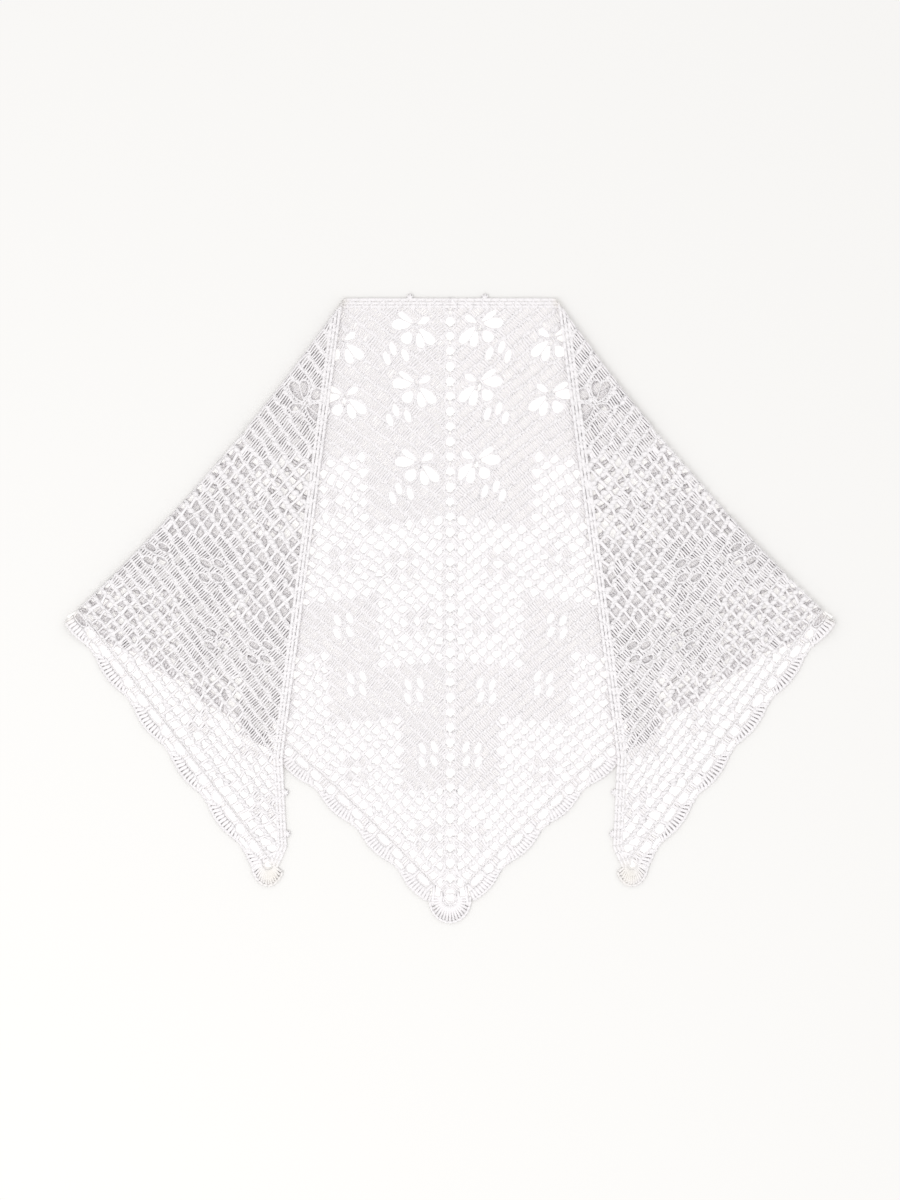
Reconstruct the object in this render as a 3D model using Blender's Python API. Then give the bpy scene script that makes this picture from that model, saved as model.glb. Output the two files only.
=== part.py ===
"""Kerchief: a triangle of hand-crocheted cotton lace, laid flat with both side corners folded over to the front.

The rows of crochet run from the spine of eyelets down the middle to the long side, parallel to the scalloped edges.
Places in the ground are given by stitch (counted from the spine) and row (counted from the middle of the long side).
Everything is worked out for the right-hand half, in metres, and mirrored for the left.
"""

import math

import bmesh
import bpy
from mathutils import Vector
from mathutils.geometry import delaunay_2d_cdt

# Sizes as it lies. "Down" is measured from the long side towards the point.
DEPTH = 0.4675
POINT_DOWN = 0.4515
FOLD_TOP = (0.0800, 0.0)
FOLD_END = (0.2785, 0.2322)
FOLD_BOW = 0.0078
LONG_SIDE_KNEE = (0.1252, 0.3443)
LONG_SIDE_TURN = (0.1220, 0.4120)
CORNER = (0.1290, 0.4275)

# The crochet: rows of each half, and the stitches that each row gains.
ROWS = 40
STITCHES_PER_ROW = 4.0
FOLD_ROW = 6.4
FOLD_WARP = 0.185
FOLD_STITCH = 97.0
ROW_SLOPE_TOP = 0.906
ROW_SLOPE_POINT = 1.06
ROW_BEND = 0.62

# Cloth thickness and how the layers lie.
THICK = 0.0021
SEAM = 0.0003
ROLL = 0.0028
ROLL_MIDDLE = ROLL - THICK / 2
ROLL_RUN = math.pi * ROLL_MIDDLE
LAYER = THICK + SEAM
PUFF = 2 * ROLL - THICK - LAYER
PUFF_RUN = 0.022
STEP_START = 0.0168
STEP_RUN = 0.011

# Widths of the bands, the spine and the scalloped edging.
BAND = 0.0078
SPINE_HALF = 0.0064
SPINE_MARGIN = 0.0014
POINT_SHELL_HALF = 0.0142
POINT_SHELL_SIDE = 0.0136
FIRST_SHELL = 0.0250
BACK_REPEAT = 0.0422
FIRST_WING_SHELL = 0.0079
WING_REPEAT = 0.0461
WING_SHELLS = 5
TIP_DEPTH = 0.0185
CORNER_FAN = (0.1365, 0.4230)
CORNER_FAN_SIZE = (0.0109, 0.0165)
CORNER_FAN_TURN = 155.0
BACK_SHELLS = 8

# Outline of one repeat of the edging, from the middle of its shell: place along it and depth from the last row.
EDGE_OUTLINE = (
    # along, depth
    (-0.40, 0.0122),
    (-0.27, 0.0142),
    (-0.08, 0.0157),
    (0.12, 0.0157),
    (0.30, 0.0141),
    (0.42, 0.0122),
)

# Holes of one repeat of the edging, from the middle of its shell. Shares of the repeat along it, metres across it.
EDGE_HOLES = (
    # along, depth, half length, half width
    (0.00, 0.0040, 0.134, 0.0019),
    (0.29, 0.0045, 0.080, 0.0029),
    (0.51, 0.0094, 0.115, 0.0016),
    (0.66, 0.0043, 0.110, 0.0026),
)

# Petal holes of a butterfly, round its knot, in the frame of its row: metres and degrees.
BUTTERFLY = (
    # angle, near end, far end, width
    (-5.0, 0.0022, 0.0160, 0.0040),
    (-39.0, 0.0036, 0.0180, 0.0074),
    (-97.0, 0.0066, 0.0158, 0.0080),
    (-148.0, 0.0060, 0.0180, 0.0056),
    (-177.0, 0.0036, 0.0200, 0.0066),
    (110.0, 0.0022, 0.0116, 0.0046),
)

# Where the motifs stand, by stitch and row. The butterflies of the right half stand a little nearer to the spine.
BUTTERFLIES = (
    # stitch, row, on the left half
    (8.3, 3.9),
    (8.3, 7.75),
    (8.1, 12.75),
    (26.3, 8.9),
    (26.6, 12.3),
)
RIGHT_BUTTERFLY_SHIFT = (-1.4, -0.45)
WING_BUTTERFLY = (46.9, 13.4)
FLOWERS = (
    # stitch, row
    (10.2, 28.4),
    (6.3, 31.8),
    (29.4, 28.2),
    (26.2, 31.5),
)
WING_FLOWERS = (
    # stitch, row
    (84.2, 27.7),
    (103.4, 28.4),
    (81.0, 30.9),
    (101.0, 30.9),
)
SMALL_HOLES = (
    # stitch, row, from the knot of each of the first three butterflies
    (2.5, 2.6),
    (5.5, 2.9),
    (7.2, 3.85),
)
FLOWER = (
    # stitch, row, of each petal from its middle
    (-1.8, -0.93),
    (-1.6, 0.05),
    (1.6, -0.05),
    (1.8, 0.90),
)
FLOWER_HOLE = (0.95, 0.31)
SMALL_HOLE = (0.72, 0.25)
EYELET_SHARE = 0.69
EYELET_HALF = (0.0033, 0.0042)

COTTON = (0.86, 0.85, 0.82)
ROUGHNESS = 0.85


def clear_scene():
    """Removes whatever the file opened with."""
    for item in list(bpy.data.objects):
        bpy.data.objects.remove(item, do_unlink=True)


def plan(across, down):
    """Turns a place across and down into a point of the plan, whose middle is the origin."""
    return Vector((across, DEPTH / 2 - down))


def ease(share):
    """A smooth step from 0 to 1."""
    share = min(max(share, 0.0), 1.0)
    return share * share * (3.0 - 2.0 * share)


def solve(function, low, high):
    """Finds where a rising function crosses zero, by halving."""
    for _ in range(40):
        middle = (low + high) / 2
        if function(middle) > 0:
            high = middle
        else:
            low = middle
    return (low + high) / 2


class Path:
    """A line in the plan, measured along it and square to it, and carried on straight past both ends.

    Its outer side is on the left of its run when outer is 1, and on the right when outer is -1.
    """

    def __init__(self, points, outer=1):
        self.points = points
        self.outer = outer
        self.marks = [0.0]
        for first, second in zip(points, points[1:]):
            self.marks.append(self.marks[-1] + (second - first).length)
        self.length = self.marks[-1]

    def stretch(self, index):
        """Gives the start, the direction and the outward direction of one stretch."""
        run = (self.points[index + 1] - self.points[index]).normalized()
        return self.points[index], run, Vector((-run.y, run.x)) * self.outer

    def at(self, along, out=0.0):
        """The point at a distance along the line, and out from it."""
        index = 0
        while index < len(self.points) - 2 and along > self.marks[index + 1]:
            index += 1
        start, run, outward = self.stretch(index)
        return start + run * (along - self.marks[index]) + outward * out

    def measure(self, point):
        """The distance along the line, and out from it, of the place nearest to a point."""
        best = None
        last = len(self.points) - 2
        for index in range(last + 1):
            start, run, outward = self.stretch(index)
            along = (point - start).dot(run)
            low = -1.0 if index == 0 else 0.0
            high = 1.0 if index == last else self.marks[index + 1] - self.marks[index]
            held = min(max(along, low), high)
            away = (start + run * held - point).length
            if best is None or away < best[0]:
                best = (away, self.marks[index] + held, math.copysign(away, (point - start).dot(outward)))
        return best[1], best[2]


def fold_path():
    """The fold of a side corner: nearly straight, bowed a little towards the middle."""
    start = plan(*FOLD_TOP)
    end = plan(*FOLD_END)
    run = (end - start).normalized()
    outward = Vector((-run.y, run.x))
    steps = 14
    points = []
    for step in range(steps + 1):
        share = step / steps
        points.append(start.lerp(end, share) - outward * FOLD_BOW * 4 * share * (1 - share))
    return Path(points)


FOLD = fold_path()
LONG_SIDE = Path([plan(*FOLD_TOP), plan(*LONG_SIDE_KNEE), plan(*LONG_SIDE_TURN), plan(*CORNER)])


def fold_share(row):
    """How far down the fold a row crosses it: the rows lie closer towards the corner."""
    share = (row - FOLD_ROW) / (ROWS - FOLD_ROW)
    return share + FOLD_WARP * share * (1 - share)


def row_on_back(row):
    """The line of one row on the back layer, from the spine to the fold or to the long side."""
    start = plan(0.0, POINT_DOWN * row / ROWS)
    if row <= FOLD_ROW:
        return Path([start, plan(FOLD_TOP[0] * row / FOLD_ROW, 0.0)], outer=-1)
    end = FOLD.at(FOLD.length * fold_share(row))
    half = ROWS / 2
    slope = ROW_SLOPE_TOP + (ROW_SLOPE_POINT - ROW_SLOPE_TOP) * max(0.0, row - half) / half
    bend = start + Vector((1.0, slope)) * (end.x * ROW_BEND)
    steps = 12
    points = []
    for step in range(steps + 1):
        share = step / steps
        points.append(start.lerp(bend, share).lerp(bend.lerp(end, share), share))
    return Path(points, outer=-1)


def row_on_wing(row):
    """The line of one row on the folded-over wing, from the fold to the long side."""
    share = fold_share(row)
    return Path([FOLD.at(FOLD.length * share), LONG_SIDE.at(LONG_SIDE.length * share)])


def stitches_to_fold(row):
    """How many stitches a row has between the spine and the fold."""
    if row <= FOLD_ROW:
        return STITCHES_PER_ROW * row
    share = (row - FOLD_ROW) / (ROWS - FOLD_ROW)
    return STITCHES_PER_ROW * FOLD_ROW * (1 - share) + FOLD_STITCH * share


def ground(stitch, row):
    """The point of the plan at one stitch of one row, on the back layer or on the wing."""
    folded = stitches_to_fold(row)
    if stitch <= folded:
        line = row_on_back(row)
        return line.at(line.length * stitch / folded)
    line = row_on_wing(row)
    return line.at(line.length * (stitch - folded) / (STITCHES_PER_ROW * row - folded))


LAST_ROW_BACK = row_on_back(ROWS)
LAST_ROW_WING = row_on_wing(ROWS)


def ring(middle, along, across, sides=6):
    """A hole: an even ring of points round its middle, longer one way than the other."""
    points = []
    for side in range(sides):
        turn = 2 * math.pi * side / sides
        points.append(middle + along * math.cos(turn) + across * math.sin(turn))
    return points


def chart_ring(stitch, row, half_stitches, half_rows, sides=6):
    """A hole of the ground, as wide and high as so many stitches and rows."""
    points = []
    for side in range(sides):
        turn = 2 * math.pi * (side + 0.5) / sides
        points.append(ground(stitch + half_stitches * math.cos(turn), row + half_rows * math.sin(turn)))
    return points


def butterfly_holes(stitch, row):
    """The six petals round the knot of a butterfly."""
    knot = ground(stitch, row)
    along = (ground(stitch + 1.0, row) - knot).normalized()
    up = Vector((-along.y, along.x))
    holes = []
    for angle, near, far, width in BUTTERFLY:
        turn = math.radians(angle)
        out = along * math.cos(turn) + up * math.sin(turn)
        aside = Vector((-out.y, out.x)) * (width / 2)
        long = far - near
        petal = [knot + out * near]
        for share, spread in ((0.45, -0.95), (0.85, -0.85), (1.0, 0.0), (0.85, 0.85), (0.45, 0.95)):
            petal.append(knot + out * (near + long * share) + aside * spread)
        holes.append(petal)
    return holes


def off_spine(hole):
    """The points of a hole, held clear of the spine."""
    return [Vector((max(point.x, SPINE_HALF + SPINE_MARGIN), point.y)) for point in hole]


def flower_holes(stitch, row):
    """The four petals of a flower."""
    return [chart_ring(stitch + aside, row + on, *FLOWER_HOLE) for aside, on in FLOWER]


def back_holes(shift=(0.0, 0.0)):
    """Every motif hole of the back layer's ground, with the butterflies moved by so many stitches and rows."""
    holes = []
    butterflies = [(stitch + shift[0], row + shift[1]) for stitch, row in BUTTERFLIES]
    for stitch, row in butterflies:
        holes += [off_spine(petal) for petal in butterfly_holes(stitch, row)]
    for stitch, row in butterflies[:3]:
        for more_stitches, more_rows in SMALL_HOLES:
            holes.append(chart_ring(stitch + more_stitches, row + more_rows, *SMALL_HOLE))
    for stitch, row in FLOWERS:
        holes += flower_holes(stitch, row)
    return holes


def edge_holes(path, shells, repeat, count):
    """The holes of a scalloped edging, repeat by repeat from its first shell."""
    holes = []
    for index in range(count):
        for along, depth, half_length, half_width in EDGE_HOLES:
            place = shells + repeat * (index + along)
            middle = path.at(place, depth)
            run = (path.at(place + 0.001, depth) - middle).normalized()
            outward = (path.at(place, depth + 0.001) - middle).normalized()
            holes.append(ring(middle, run * (half_length * repeat), outward * half_width))
    return holes


def edge_outline(path, shells, repeat, count, low, high):
    """The scalloped outer line of an edging between two places along its last row."""
    points = []
    for index in range(-1, count + 1):
        for along, depth in EDGE_OUTLINE:
            place = shells + repeat * (index + along)
            if low < place < high:
                points.append(path.at(place, depth))
    return points


def samples(path, low, high, out, count):
    """Points evenly along a path at one distance out from it."""
    return [path.at(low + (high - low) * step / count, out) for step in range(count + 1)]


def lie_flat(point, height):
    """Lays a point of the back layer on the surface."""
    return Vector((point.x, point.y, height))


def lie_over(point, height):
    """Lays a point of a folded-over layer: round the fold, on the back layer, and down past its edge."""
    along, out = FOLD.measure(point)
    if out > -ROLL:
        turn = min((out + ROLL) / ROLL_MIDDLE, math.pi)
        radius = ROLL - THICK + height
        place = FOLD.at(along, -ROLL + radius * math.sin(turn))
        return Vector((place.x, place.y, ROLL + radius * math.cos(turn)))
    inside = -ROLL - out
    past = min(LAST_ROW_BACK.measure(point)[1] - STEP_START, inside)
    low = LAYER * (1.0 - ease(past / STEP_RUN)) + PUFF * (1.0 - ease(inside / PUFF_RUN))
    return Vector((point.x, point.y, low + height))


def counterclockwise(points):
    """The points of a closed loop, in the order that runs counterclockwise."""
    area = sum(first.cross(second) for first, second in zip(points, points[1:] + points[:1]))
    return points if area > 0 else points[::-1]


def inside(point, outline):
    """Whether a point is inside a closed outline."""
    found = False
    for first, second in zip(outline, outline[1:] + outline[:1]):
        if (first.y > point.y) != (second.y > point.y):
            if point.x < first.x + (second.x - first.x) * (point.y - first.y) / (second.y - first.y):
                found = not found
    return found


def clear_of_edge(hole, outline, margin=0.0011):
    """Whether a hole is inside the outline with some cloth left round it."""
    edge = Path(outline + outline[:1])
    return all(inside(point, outline) and abs(edge.measure(point)[1]) > margin for point in hole)


def cotton(name):
    """The plain cotton of one piece."""
    material = bpy.data.materials.new(name + "_cotton")
    material.use_nodes = True
    shader = material.node_tree.nodes["Principled BSDF"]
    shader.inputs["Base Color"].default_value = (*COTTON, 1.0)
    shader.inputs["Roughness"].default_value = ROUGHNESS
    shader.inputs["Metallic"].default_value = 0.0
    return material


def cloth(name, outline, holes=(), creases=(), lie=lie_flat, side=1):
    """Makes one stretch of crochet: its outline less its holes, as a wall laid by the given rule."""
    loops = [outline] + [hole for hole in holes if clear_of_edge(hole, outline)]
    points = []
    edges = []
    faces = []
    for loop in loops:
        first = len(points)
        points += counterclockwise(loop)
        faces.append(list(range(first, first + len(loop))))
    for crease in creases:
        first = len(points)
        points += crease
        edges += [(index, index + 1) for index in range(first, first + len(crease) - 1)]
    found, _, triangles, _, _, sources = delaunay_2d_cdt(points, edges, faces, 0, 1e-6, True)

    shape = bmesh.new()
    corners = [shape.verts.new((point.x, point.y, 0.0)) for point in found]
    for triangle, source in zip(triangles, sources):
        if source == [0]:
            shape.faces.new([corners[index] for index in triangle])
    loose = [corner for corner in shape.verts if not corner.link_faces]
    bmesh.ops.delete(shape, geom=loose, context="VERTS")
    lower = list(shape.verts)
    upper = bmesh.ops.extrude_face_region(shape, geom=shape.faces[:], use_keep_orig=True)["geom"]
    upper = [item for item in upper if isinstance(item, bmesh.types.BMVert)]
    for corners, height in ((lower, 0.0), (upper, THICK)):
        for corner in corners:
            place = lie(Vector((corner.co.x, corner.co.y)), height)
            corner.co = (place.x * side, place.y, place.z)
    bmesh.ops.recalc_face_normals(shape, faces=shape.faces[:])
    if shape.calc_volume(signed=True) < 0:
        bmesh.ops.reverse_faces(shape, faces=shape.faces[:])
    mesh = bpy.data.meshes.new(name)
    shape.to_mesh(mesh)
    shape.free()
    piece = bpy.data.objects.new(name, mesh)
    bpy.context.collection.objects.link(piece)
    mesh.materials.append(cotton(name))
    return piece


def mirrored(points):
    """The same points on the left-hand half."""
    return [Vector((-point.x, point.y)) for point in points]


def along_where_fold(path, out, target, low, high):
    """Where along a path, at one distance out from it, it passes a distance from the fold."""
    return solve(lambda along: FOLD.measure(path.at(along, out))[1] - target, low, high)


def make_spine():
    """The column of eyelets down the middle, one to a row."""
    half = SPINE_HALF - SEAM / 2
    low = solve(lambda along: LAST_ROW_BACK.at(along, -SEAM / 2).x - half, -0.002, 0.03)
    foot = LAST_ROW_BACK.at(low, -SEAM / 2)
    top = plan(0.0, BAND + SEAM / 2).y
    tip = plan(0.0, POINT_DOWN - SEAM)
    outline = [Vector((-half, top)), Vector((-half, foot.y)), tip, Vector((half, foot.y)), Vector((half, top))]
    holes = []
    for row in range(ROWS):
        middle = plan(0.0, POINT_DOWN * (row + EYELET_SHARE) / ROWS)
        holes.append(ring(middle, Vector((0.0, EYELET_HALF[1])), Vector((EYELET_HALF[0], 0.0))))
    cloth("spine", outline, holes)


def make_backs():
    """The ground of the back layer, between the spine and each fold."""
    inset = -(ROLL + SEAM)
    start = solve(lambda along: plan(0.0, BAND + SEAM / 2).y - FOLD.at(along, inset).y, -0.02, 0.05)
    meet = along_where_fold(LAST_ROW_BACK, -SEAM / 2, inset, 0.25, LAST_ROW_BACK.length)
    end = FOLD.measure(LAST_ROW_BACK.at(meet, -SEAM / 2))[0]
    half = SPINE_HALF + SEAM / 2
    first = solve(lambda along: LAST_ROW_BACK.at(along, -SEAM / 2).x - half, 0.0, 0.03)
    outline = [Vector((half, FOLD.at(start, inset).y))]
    outline += samples(FOLD, start, end, inset, 12)[:-1]
    outline += samples(LAST_ROW_BACK, meet, first, -SEAM / 2, 12)
    cloth("back_right", outline, back_holes(RIGHT_BUTTERFLY_SHIFT))
    cloth("back_left", outline, back_holes(), side=-1)


def make_top_band():
    """The plain band along the middle of the long side, from fold to fold."""
    inset = -(ROLL + SEAM)
    rows = []
    for down in (0.0, BAND - SEAM / 2):
        place = solve(lambda along: plan(0.0, down).y - FOLD.at(along, inset).y, -0.02, 0.05)
        rows.append(FOLD.at(place, inset))
    outline = [rows[0], rows[1]] + mirrored([rows[1], rows[0]])
    cloth("band_top", outline)


def make_back_edgings():
    """The scalloped edging of the back layer, from the point shell to each fold."""
    inset = -(ROLL + SEAM)
    start = POINT_SHELL_HALF + SEAM / 2
    first = solve(lambda along: LAST_ROW_BACK.at(along, SEAM / 2).x - start, 0.0, 0.05)
    first_out = solve(lambda along: LAST_ROW_BACK.at(along, POINT_SHELL_SIDE).x - start, -0.02, 0.05)
    meet = along_where_fold(LAST_ROW_BACK, SEAM / 2, inset, 0.25, LAST_ROW_BACK.length + 0.01)
    meet_out = along_where_fold(LAST_ROW_BACK, TIP_DEPTH, inset, 0.25, LAST_ROW_BACK.length + 0.02)
    outline = samples(LAST_ROW_BACK, meet, first, SEAM / 2, 12)
    outline.append(LAST_ROW_BACK.at(first_out, POINT_SHELL_SIDE))
    outline += edge_outline(LAST_ROW_BACK, FIRST_SHELL, BACK_REPEAT, BACK_SHELLS, first_out + 0.002, meet_out - 0.006)
    outline.append(LAST_ROW_BACK.at(meet_out, TIP_DEPTH))
    holes = edge_holes(LAST_ROW_BACK, FIRST_SHELL, BACK_REPEAT, BACK_SHELLS)
    cloth("edging_back_right", outline, holes)
    cloth("edging_back_left", outline, holes, side=-1)


def make_point_shell():
    """The fan at the point, with its crescent and two corner holes."""
    half = POINT_SHELL_HALF - SEAM / 2
    first = solve(lambda along: LAST_ROW_BACK.at(along, SEAM / 2).x - half, 0.0, 0.05)
    shoulder = LAST_ROW_BACK.at(first, SEAM / 2)
    right = [shoulder, Vector((half, plan(0.0, POINT_DOWN).y))]
    sides = 5
    for side in range(sides):
        turn = math.pi / 2 * (side + 0.6) / sides
        drop = (DEPTH - POINT_DOWN) * math.sin(turn)
        right.append(Vector((half * math.cos(turn), plan(0.0, POINT_DOWN + drop).y)))
    outline = [plan(0.0, POINT_DOWN + SEAM)] + right + [plan(0.0, DEPTH)] + mirrored(right[::-1])
    crescent = plan(0.0, POINT_DOWN + 0.0052)
    holes = [ring(crescent, Vector((0.0044, 0.0)), Vector((0.0, 0.0021)))]
    for hand in (-1, 1):
        middle = plan(hand * 0.0098, POINT_DOWN - 0.0022)
        holes.append(ring(middle, Vector((0.0, 0.0030)), Vector((0.0023, 0.0))))
    cloth("point_shell", outline, holes)


def fold_creases(low, high):
    """Lines along which a folded-over layer turns round its fold and settles."""
    count = 12
    turns = [-ROLL + ROLL_RUN * share for share in (0.0, 0.25, 0.5, 0.75)]
    settles = [-ROLL - PUFF_RUN * share for share in (0.33, 0.67, 1.0)]
    return [samples(FOLD, low, high, out, count) for out in turns + settles]


def step_creases():
    """Lines along which a folded-over layer steps down past the edge of the layer below."""
    outs = [STEP_START + STEP_RUN * share for share in (0.0, 0.33, 0.67, 1.0)]
    return [samples(LAST_ROW_BACK, 0.16, LAST_ROW_BACK.length + 0.03, out, 12) for out in outs]


def make_wings():
    """The ground of each folded-over corner, with its fold."""
    far = -ROLL + ROLL_RUN
    inner = BAND + SEAM / 2
    start = where_leaves_fold(LONG_SIDE, inner)
    meet = where_leaves_fold(LAST_ROW_WING, -SEAM / 2)
    begin = FOLD.measure(LONG_SIDE.at(start, inner))[0]
    end = FOLD.measure(LAST_ROW_WING.at(meet, -SEAM / 2))[0]
    foot = where_meets_last_row(inner)
    outline = [LONG_SIDE.at(start, inner)] + samples(FOLD, begin, end, far, 12)
    outline.append(LAST_ROW_WING.at(meet, -SEAM / 2))
    outline += [LONG_SIDE.at(place, inner) for place in (foot, *LONG_SIDE.marks[2:0:-1])]
    holes = butterfly_holes(*WING_BUTTERFLY)
    for stitch, row in WING_FLOWERS:
        holes += flower_holes(stitch, row)
    creases = fold_creases(-0.01, FOLD.length + 0.03) + step_creases()
    cloth("wing_right", outline, holes, creases, lie_over)
    cloth("wing_left", outline, holes, creases, lie_over, side=-1)


def where_leaves_fold(path, out):
    """How far along a folded-over line, at a distance out from it, the round of the fold ends."""
    return solve(lambda along: -ROLL - FOLD.measure(path.at(along, out))[1], -0.03, 0.06)


def where_meets_last_row(out):
    """How far along the long side, at a distance in from it, the last row of the wing is met."""
    return solve(lambda along: LAST_ROW_WING.measure(LONG_SIDE.at(along, out))[1] + SEAM / 2, 0.30, 0.46)


def make_wing_bands():
    """The plain band along the folded-over stretch of the long side, with its turn at the fold."""
    far = -ROLL + ROLL_RUN
    inner = BAND - SEAM / 2
    turns = LONG_SIDE.marks[1:3]
    start = where_leaves_fold(LONG_SIDE, inner)
    begin = FOLD.measure(LONG_SIDE.at(start, inner))[0]
    outline = samples(FOLD, 0.0, begin, far, 3)
    outline += [LONG_SIDE.at(place, inner) for place in (start, *turns, where_meets_last_row(inner))]
    outline += [LONG_SIDE.at(place) for place in (where_meets_last_row(0.0), *turns[::-1])]
    outline.append(LONG_SIDE.at(where_leaves_fold(LONG_SIDE, 0.0)))
    outline.append(FOLD.at(0.0, -ROLL))
    creases = fold_creases(-0.01, 0.06) + step_creases()
    cloth("band_wing_right", outline, (), creases, lie_over)
    cloth("band_wing_left", outline, (), creases, lie_over, side=-1)


def make_wing_edgings():
    """The scalloped edging of each wing, from the fold to the fan at its corner."""
    far = -ROLL + ROLL_RUN
    length = LAST_ROW_WING.length
    start = where_leaves_fold(LAST_ROW_WING, SEAM / 2)
    start_out = where_leaves_fold(LAST_ROW_WING, TIP_DEPTH)
    begin = FOLD.measure(LAST_ROW_WING.at(start, SEAM / 2))[0]
    end = FOLD.measure(LAST_ROW_WING.at(start_out, TIP_DEPTH))[0]
    outline = [LAST_ROW_WING.at(start, SEAM / 2)] + samples(FOLD, begin, end, far, 3)
    outline.append(LAST_ROW_WING.at(start_out, TIP_DEPTH))
    low, high = start_out + 0.006, length - 0.012
    outline += edge_outline(LAST_ROW_WING, FIRST_WING_SHELL, WING_REPEAT, WING_SHELLS, low, high)
    outline += corner_fan()
    outline.append(LAST_ROW_WING.at(length, SEAM / 2))
    holes = edge_holes(LAST_ROW_WING, FIRST_WING_SHELL, WING_REPEAT, WING_SHELLS)
    creases = fold_creases(FOLD.length - 0.02, FOLD.length + 0.03) + step_creases()
    cloth("edging_wing_right", outline, holes, creases, lie_over)
    cloth("edging_wing_left", outline, holes, creases, lie_over, side=-1)


def corner_fan():
    """The outline of the fan round the tip of a folded-over corner."""
    middle = plan(*CORNER_FAN)
    half, drop = CORNER_FAN_SIZE
    sides = 6
    points = []
    for side in range(sides + 1):
        turn = math.radians(CORNER_FAN_TURN) * side / sides
        points.append(middle + Vector((half * math.cos(turn), -drop * math.sin(turn))))
    return points


def main():
    clear_scene()
    make_spine()
    make_backs()
    make_top_band()
    make_back_edgings()
    make_point_shell()
    make_wings()
    make_wing_bands()
    make_wing_edgings()


main()
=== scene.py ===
"""Looks of a kerchief of hand-crocheted cotton lace, laid flat with both side corners folded over.

Every stitch is a closed length of yarn. One stitch of each kind is modelled, and copies of it are laid
side by side, by their stitch (counted from the spine) and row (counted from the middle of the long side),
the way the lace is worked. The right-hand half is worked out, in metres, and mirrored for the left.
"""

import math

import bmesh
import bpy
import numpy as np
from mathutils import Matrix, Vector


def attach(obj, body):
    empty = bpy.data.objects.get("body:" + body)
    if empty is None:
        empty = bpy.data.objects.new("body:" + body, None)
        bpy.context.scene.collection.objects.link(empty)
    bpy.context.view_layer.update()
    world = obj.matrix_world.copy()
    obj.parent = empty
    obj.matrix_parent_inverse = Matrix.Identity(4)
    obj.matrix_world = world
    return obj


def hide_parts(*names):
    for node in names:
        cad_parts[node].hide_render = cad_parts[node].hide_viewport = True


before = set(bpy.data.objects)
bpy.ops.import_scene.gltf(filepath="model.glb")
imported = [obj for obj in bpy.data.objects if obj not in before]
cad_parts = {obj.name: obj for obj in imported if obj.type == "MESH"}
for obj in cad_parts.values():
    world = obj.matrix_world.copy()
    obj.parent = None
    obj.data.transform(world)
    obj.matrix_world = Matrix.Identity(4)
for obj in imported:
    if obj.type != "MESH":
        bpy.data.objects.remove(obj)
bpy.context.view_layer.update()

bl_info = {
    "name": "Lace kerchief",
    "version": (1, 0, 0),
    "blender": (4, 5, 0),
    "location": "3D View > Sidebar > Kerchief",
    "description": "Lays the crochet of a folded lace kerchief over its solids, stitch by stitch",
    "category": "Object",
}

# Sizes as it lies, the same as those of the solids. "Down" runs from the long side towards the point.
DEPTH = 0.4675
POINT_DOWN = 0.4515
FOLD_TOP = (0.0800, 0.0)
FOLD_END = (0.2785, 0.2322)
FOLD_BOW = 0.0078
LONG_SIDE_KNEE = (0.1252, 0.3443)
LONG_SIDE_TURN = (0.1220, 0.4120)
CORNER = (0.1290, 0.4275)

# The crochet: rows of each half, and the stitches that each row gains.
ROWS = 40
STITCHES_PER_ROW = 4.0
FOLD_ROW = 6.4
FOLD_STITCH = 97.0
FOLD_WARP = 0.185
ROW_SLOPE_TOP = 0.906
ROW_SLOPE_POINT = 1.06
ROW_BEND = 0.62

# Cloth thickness and how the layers lie.
THICK = 0.0021
SEAM = 0.0003
ROLL = 0.0028
ROLL_MIDDLE = ROLL - THICK / 2
LAYER = THICK + SEAM
PUFF = 2 * ROLL - THICK - LAYER
PUFF_RUN = 0.022
STEP_START = 0.0168
STEP_RUN = 0.011

# Widths of the bands and places of the scalloped edging.
BAND = 0.0078
BAND_BRAIDS = 3
CORD_PITCH = 0.0060
TOP_KNOTS = (-0.0300, 0.0262)
LONG_SIDE_KNOTS = (0.3737, 0.4047)
SPINE_HALF = 0.0064
POINT_SHELL_HALF = 0.0142
FIRST_SHELL = 0.0250
BACK_REPEAT = 0.0422
BACK_SHELLS = 8
FIRST_WING_SHELL = 0.0079
WING_REPEAT = 0.0461
WING_SHELLS = 5
CORNER_FAN = (0.1365, 0.4230)
CORNER_FAN_SIZE = (0.0109, 0.0165)
CORNER_FAN_TURN = 155.0

# Outline of one repeat of the edging, from the middle of its shell: shares along it, and metres from
# the last row.
EDGE_OUTLINE = (
    # along, depth
    (-0.40, 0.0122),
    (-0.27, 0.0142),
    (-0.08, 0.0157),
    (0.12, 0.0157),
    (0.30, 0.0141),
    (0.42, 0.0122),
)

# Holes of one repeat of the edging, from the middle of its shell: shares along it, and metres across it.
EDGE_HOLES = (
    # along, depth, half length, half width
    (0.00, 0.0040, 0.134, 0.0019),
    (0.29, 0.0045, 0.080, 0.0029),
    (0.51, 0.0094, 0.115, 0.0016),
    (0.66, 0.0043, 0.110, 0.0026),
)

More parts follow.
